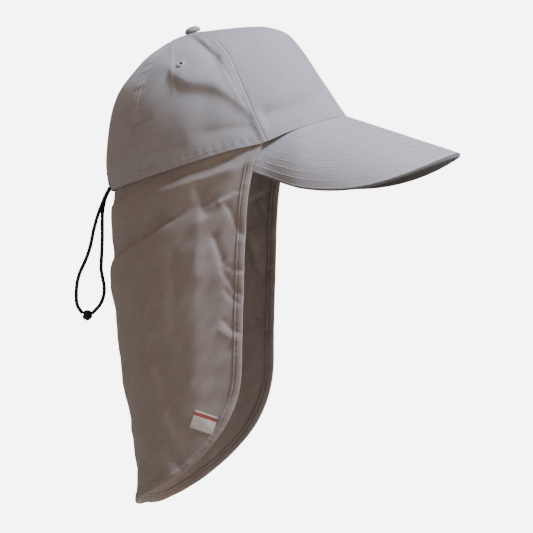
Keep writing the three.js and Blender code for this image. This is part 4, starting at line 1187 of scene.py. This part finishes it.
def lower_edge(share, inset):
    """The flap's free edge, drawn in by an inset, at shares of the way round: a superellipse with
    rounded lower corners and a level hem, which hangs a little lower on the wearer's left."""
    half_length = np.interp(FLAP_STRAIGHT, FLAP_DOWNS, FLAP_LENGTHS)
    edge_share = 1 - inset / half_length
    drop = np.maximum(1 - np.abs(share) ** FLAP_ROUNDNESS, 0) ** (1 / FLAP_ROUNDNESS)
    sag = HEM_SAG * smoothstep(share, *HEM_SAG_START) * (1 - smoothstep(share, *HEM_SAG_END))
    return edge_share * share, -FLAP_STRAIGHT - (FLAP_DROP - FLAP_STRAIGHT - inset) * drop - sag


def skewed(share, height):
    """Heights moved down towards the wearer's left and up towards the right, more so near the hem."""
    return height - FLAP_SKEW * share * smoothstep(-height, FLAP_STRAIGHT / 2, FLAP_DROP)


def flap_at(share, height):
    """The flap's surface at a share and a height before the skew."""
    return flap_point(share, skewed(share, height))


def offset_from_flap(share, height, lift):
    """Points a lift away from the flap along its outward normal."""
    step, fall = 0.0015, 0.3
    by_share = flap_at(share + step, height) - flap_at(share - step, height)
    by_height = flap_at(share, height + fall) - flap_at(share, height - fall)
    normal = unit(np.cross(by_height, by_share))
    return flap_at(share, height) + normal * np.asarray(lift)[..., None]


def around_edge(count):
    """Shares from the right front edge (-1) to the left one (1), closer together at the corners."""
    even = np.linspace(0, 1, count)
    half = 1 - mix(even, 1 - np.cos(even * np.pi / 2), FLAP_EDGE_CROWDING)
    return np.concatenate([-half[:-1], half[::-1]])


def flap_grid(columns, rows, inset):
    """The flap's cloth as a grid inside the binding: shares, heights and points. Each column runs from
    inside the rim straight down to the free edge."""
    round_share = around_edge(columns)[None]
    edge_share, edge_height = lower_edge(round_share, inset)
    top = rim_height(np.abs(edge_share)) + FLAP_TUCK
    height = mix(top, edge_height, np.linspace(0, 1, rows)[:, None] ** FLAP_ROW_CROWDING)
    front = np.sign(round_share) * (1 - inset / np.interp(-height, FLAP_DOWNS, FLAP_LENGTHS))
    share = np.where(np.abs(round_share) > FLAP_FRONT_SHARE, front, edge_share)
    return share, height, flap_at(share, height)


flap_material = cloth("flap_twill", FLAP_COLOUR, sheen=FLAP_SHEEN)
share, height, flap_points = flap_grid(FLAP_COLUMNS, FLAP_ROWS, BINDING_WIDTH - FLAP_UNDER_BINDING)
flap_uv = np.stack([share * FLAP_SPAN, height], -1) * MM
flap = shell_object("flap_cloth", flap_points, FLAP_WALL, flap_uv)
flap.data.materials.append(flap_material)
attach(flap, "root")
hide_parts("neck_flap")

# The binding: a folded band of the same cloth sewn round the flap's free edge with one row of stitches,
# which shows on both of its faces.
BINDING_PAD = 0.9
BINDING_START = 1.0
BINDING_STITCH = 5.6
BINDING_STITCH_SINK = 0.5
BINDING_FOLD = 0.9
BINDING_FOLD_POINTS = 7
BINDING_RIPPLE = 0.05
BINDING_RIPPLE_PITCH = 9.1
BINDING_FINE_RIPPLE_PITCH = 5.3
BINDING_COLOUR = (0.288, 0.235, 0.195)
BINDING_CLOTH_ROUND = 16.0
BINDING_SHARP_ANGLE = math.radians(60)
BINDING_FRONT_PLACES = 169
BINDING_HEM_PLACES = 330
# One face of the band from its fold inwards: inset from the free edge, and height above the plain pad.
# The groove is where the stitches pull it down.
BINDING_FACE = [
    (BINDING_FOLD, 0.0),
    (2.2, 0.25),
    (3.8, 0.20),
    (4.7, 0.0),
    (5.2, -0.40),
    (BINDING_STITCH, -0.65),
    (6.0, -0.40),
    (6.4, -0.10),
    (6.8, -0.20),
    (BINDING_WIDTH, -0.60),
]

middle = -FLAP_WALL / 2
thick = FLAP_WALL / 2 + BINDING_PAD
outer_face = [(inset, middle + thick + rise) for inset, rise in BINDING_FACE]
inner_face = [(inset, middle - thick - rise) for inset, rise in BINDING_FACE[::-1]]
fold_turn = np.linspace(0, math.pi, BINDING_FOLD_POINTS + 2)[1:-1]
fold_round = [(BINDING_FOLD * (1 - math.sin(turn)), middle - thick * math.cos(turn)) for turn in fold_turn]
band_inset, band_lift = np.array(outer_face + inner_face + fold_round).T


def edge_places(inset):
    """Shares and heights at an inset from the flap's free edge: down the right front edge, round the
    hem and up the left front edge. The last axis of the inset is kept."""
    start = rim_height(1.0) - BINDING_START
    tops = np.linspace(start, -FLAP_STRAIGHT, BINDING_FRONT_PLACES + 1)[:-1]
    rounds = around_edge(BINDING_HEM_PLACES)
    side = np.concatenate([np.full(len(tops), -1.0), rounds, np.full(len(tops), 1.0)])[:, None]
    front_height = np.concatenate([tops, np.zeros(len(rounds)), tops[::-1]])[:, None]
    on_front = front_height != 0
    edge_share, edge_height = lower_edge(side, inset)
    front_share = np.sign(side) * (1 - inset / np.interp(-front_height, FLAP_DOWNS, FLAP_LENGTHS))
    return np.where(on_front, front_share, edge_share), np.where(on_front, front_height, edge_height)


share, height = edge_places(band_inset[None])
lift = np.broadcast_to(band_lift[None], share.shape)
binding_rings = offset_from_flap(share, height, lift)
run = lengths_along(binding_rings[:, 0])
ripple = np.sin(2 * np.pi * run / BINDING_RIPPLE_PITCH)
ripple += np.sin(2 * np.pi * run / BINDING_FINE_RIPPLE_PITCH + 1)
binding_rings = offset_from_flap(share, height, lift + BINDING_RIPPLE * ripple[:, None])
binding_material = cloth("binding_twill", BINDING_COLOUR, sheen=FLAP_SHEEN)
binding = closed_tube("binding_cloth", binding_rings, run * MM, BINDING_CLOTH_ROUND * MM)
binding.data.materials.append(binding_material)
binding.data.set_sharp_from_angle(angle=BINDING_SHARP_ANGLE)
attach(binding, "root")
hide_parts("flap_binding")


def edge_row(inset, lift, outward):
    """A sewing line at an inset from the flap's free edge, all the way round it, on one face."""
    share, height = (part[:, 0] for part in edge_places(np.array([[inset]])))
    points = offset_from_flap(share, height, np.full(len(share), lift))
    above = offset_from_flap(share, height, np.full(len(share), lift + outward))
    return evenly(points, above - points)


sunk = thick - BINDING_STITCH_SINK
binding_rows = [edge_row(BINDING_STITCH, middle + sunk, 1), edge_row(BINDING_STITCH, middle - sunk, -1)]
binding_thread = stitches("binding_thread", binding_rows, thread_material)

# The label: a small plain woven patch, cream with one red stripe, folded under at its ends and sewn on
# just inside the binding.
LABEL_WIDTH = 19.0
LABEL_HEIGHT = 15.0
LABEL_WALL = 0.5
LABEL_SHARE = -0.81
LABEL_DROP = 215.0
LABEL_TURN = math.radians(19)
LABEL_GAP = 0.2
LABEL_GROUND = (0.66, 0.60, 0.50)
LABEL_STRIPE = (0.36, 0.075, 0.055)
# The stripe's upper and lower border, in shares of the label's height down from its middle.
LABEL_STRIPE_TOP = -0.42
LABEL_STRIPE_FOOT = -0.22
LABEL_ROUGHNESS = 0.75
LABEL_SHEEN = 0.15
LABEL_THREADS = 48
LABEL_THREAD_DEPTH = 0.00008
LABEL_THREAD_STRENGTH = 0.5
LABEL_PUFF = 0.25
LABEL_WAVE = 0.12
LABEL_WAVE_LENGTH = 9.0
LABEL_WAVE_SEED = 21
LABEL_COLUMNS = 60
LABEL_ROWS = 46

across, down = np.meshgrid(np.linspace(-0.5, 0.5, LABEL_COLUMNS), np.linspace(-0.5, 0.5, LABEL_ROWS))
across_mm, down_mm = across * LABEL_WIDTH, down * LABEL_HEIGHT
backward = across_mm * math.cos(LABEL_TURN) + down_mm * math.sin(LABEL_TURN)
height = -LABEL_DROP - (down_mm * math.cos(LABEL_TURN) - across_mm * math.sin(LABEL_TURN))
share = LABEL_SHARE + backward / np.interp(-height, FLAP_DOWNS, FLAP_LENGTHS)
puff = LABEL_PUFF * (1 - (2 * across) ** 4) * (1 - (2 * down) ** 4)
puff += LABEL_WAVE * waves(across_mm, down_mm, LABEL_WAVE_LENGTH, LABEL_WAVE_SEED)
label_points = offset_from_flap(share, height, LABEL_GAP + LABEL_WALL + puff)
label_uv = np.stack([across, down], -1)
label = shell_object("label_cloth", label_points, LABEL_WALL, label_uv)
label_material, tree, shader = new_material("woven_label", LABEL_GROUND, LABEL_ROUGHNESS)
shader.inputs["Sheen Weight"].default_value = LABEL_SHEEN
_, label_down = uv_axes(tree)
stripe = tree.nodes.new("ShaderNodeMix")
stripe.data_type = "RGBA"
stripe.inputs["A"].default_value = (*LABEL_GROUND, 1)
stripe.inputs["B"].default_value = (*LABEL_STRIPE, 1)
upper = math_node(tree, "GREATER_THAN", label_down, LABEL_STRIPE_TOP)
lower = math_node(tree, "LESS_THAN", label_down, LABEL_STRIPE_FOOT)
tree.links.new(math_node(tree, "MULTIPLY", upper, lower), stripe.inputs["Factor"])
tree.links.new(stripe.outputs["Result"], shader.inputs["Base Color"])
label_threads = math_node(tree, "SINE", math_node(tree, "MULTIPLY", label_down, 2 * math.pi * LABEL_THREADS))
bump(tree, shader, label_threads, LABEL_THREAD_DEPTH, LABEL_THREAD_STRENGTH)
label.data.materials.append(label_material)
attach(label, "root")
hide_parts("label")

# The tab: a short black tape sewn over the lower end of the back seam. It covers the place where the
# two strands of the cord leave the cap.
TAB_WIDTH = 7.0
TAB_LOW = 0.025
TAB_HIGH = 0.1
TAB_WALL = 1.2
TAB_GAP = 0.2
TAB_COLUMNS = 24
TAB_ROWS = 40
TAB_CROWDING = 0.5
TAB_COLOUR = (0.055, 0.052, 0.046)
# Millimetres of tape to a degree round the crown, for the weave.
TAB_DEGREE = 1.5

tab_half = math.degrees(TAB_WIDTH / 2 / RIM_HALF_WIDTH)
tab_across = crowded(TAB_COLUMNS, TAB_CROWDING)[None]
tab_angle = mix(MIDDLE_SEAM - tab_half, MIDDLE_SEAM + tab_half, tab_across)
tab_share = mix(TAB_LOW, TAB_HIGH, crowded(TAB_ROWS, TAB_CROWDING))[:, None]
tab_angle, tab_share = np.broadcast_arrays(tab_angle, tab_share)
angle_step, share_step = 0.05, 0.002
by_angle = crown_point(tab_angle + angle_step, tab_share) - crown_point(tab_angle - angle_step, tab_share)
by_share = crown_point(tab_angle, tab_share + share_step) - crown_point(tab_angle, tab_share - share_step)
tab_lift = unit(np.cross(by_angle, by_share)) * (TAB_GAP + TAB_WALL)
tab_points = crown_point(tab_angle, tab_share) + tab_lift
tab_uv = np.stack([tab_angle * TAB_DEGREE, tab_share * CROWN_CLOTH_LENGTH], -1) * MM
tab = shell_object("tab_tape", tab_points, TAB_WALL, tab_uv)
tab_material = cloth("black_tape", TAB_COLOUR, roughness=0.7, sheen=0.2, threads=1800.0, depth=0.00005)
tab.data.materials.append(tab_material)
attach(tab, "root")
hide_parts("cord_tab")

# The room: a pale floor that curves up into a pale backdrop behind the cap. A strong cool lamp stands
# high ahead of the peak and a weaker cool one over the crown, with two weak warm ones lower down, so
# that the front is pale and the back falls darker.
FLOOR_LEVEL = -0.62
SWEEP_WIDTH = 16.0
SWEEP_FRONT = -6.0
SWEEP_BACK = 6.0
SWEEP_CURVE = 1.5
SWEEP_HEIGHT = 6.0
SWEEP_CURVE_POINTS = 24
BACKDROP_COLOUR = (0.42, 0.39, 0.36)
BACKDROP_GLOW = 6.5
ROOM_COLOUR = (1.0, 0.80, 0.64)
ROOM_STRENGTH = 0.34
LAMP_AIM = (0, 0, -0.06)
# The lamps: name, watts, side and place in metres, which is to the camera's right, up and towards it,
# and colour.
LAMPS = [
    ("key", 158.0, 0.5, (1.35, 2.05, 0.64), (0.62, 0.75, 1.0)),
    ("top", 14.0, 1.0, (0.2, 2.2, 0.0), (0.70, 0.80, 1.0)),
    ("fill", 2.5, 1.2, (-1.0, 0.4, 1.8), (1.0, 0.82, 0.70)),
    ("low", 11.0, 1.0, (2.0, -0.1, 1.0), (1.0, 0.80, 0.66)),
]

turn = np.linspace(0, np.pi / 2, SWEEP_CURVE_POINTS)
sweep_bend = SWEEP_BACK - SWEEP_CURVE + SWEEP_CURVE * np.sin(turn)
sweep_depth = np.concatenate([[SWEEP_FRONT], sweep_bend, [SWEEP_BACK]])
sweep_height = np.concatenate([[0], SWEEP_CURVE * (1 - np.cos(turn)), [SWEEP_HEIGHT]]) + FLOOR_LEVEL
level_back = np.array([-camera_back.x, -camera_back.y, 0]) / math.hypot(camera_back.x, camera_back.y)
sweep_middle = sweep_depth[:, None] * level_back + sweep_height[:, None] * np.array([0, 0, 1.0])
half_width = np.array(camera_right) * SWEEP_WIDTH / 2
sweep_points = np.stack([sweep_middle - half_width, sweep_middle + half_width], 1).reshape(-1, 3) / MM
row = np.arange(len(sweep_depth) - 1) * 2
sweep_quads = np.stack([row, row + 1, row + 3, row + 2], -1)
sweep = mesh_object("sweep", sweep_points, sweep_quads)
stage_material, tree, shader = new_material("pale_backdrop", BACKDROP_COLOUR, 1.0)
shader.inputs["Specular IOR Level"].default_value = 0.0
shader.inputs["Emission Color"].default_value = (1, 1, 1, 1)
light_path = tree.nodes.new("ShaderNodeLightPath")
glow = math_node(tree, "MULTIPLY", light_path.outputs["Is Camera Ray"], BACKDROP_GLOW)
tree.links.new(glow, shader.inputs["Emission Strength"])
sweep.data.materials.append(stage_material)


def lamp(name, power, size, spot, colour):
    """A square soft lamp that shines on the cap."""
    data = bpy.data.lights.new(name, "AREA")
    data.energy = power
    data.size = size
    data.color = colour
    thing = bpy.data.objects.new(name, data)
    bpy.context.scene.collection.objects.link(thing)
    thing.location = camera_right * spot[0] + camera_up * spot[1] + camera_back * spot[2]
    aim = Vector(LAMP_AIM) - thing.location
    thing.rotation_euler = aim.to_track_quat("-Z", "Y").to_euler()


for row in LAMPS:
    lamp(*row)

# The room's light is warm, but the camera sees it as pale as the backdrop, whose ends it continues.
world = bpy.data.worlds.new("room")
bpy.context.scene.world = world
world.use_nodes = True
tree = world.node_tree
warm = tree.nodes["Background"]
warm.inputs["Color"].default_value = (*ROOM_COLOUR, 1)
warm.inputs["Strength"].default_value = ROOM_STRENGTH
pale = tree.nodes.new("ShaderNodeBackground")
pale.inputs["Color"].default_value = (1, 1, 1, 1)
pale.inputs["Strength"].default_value = BACKDROP_GLOW
seen = tree.nodes.new("ShaderNodeLightPath")
either = tree.nodes.new("ShaderNodeMixShader")
tree.links.new(seen.outputs["Is Camera Ray"], either.inputs[0])
tree.links.new(warm.outputs[0], either.inputs[1])
tree.links.new(pale.outputs[0], either.inputs[2])
tree.links.new(either.outputs[0], tree.nodes["World Output"].inputs["Surface"])

bpy.context.view_layer.update()
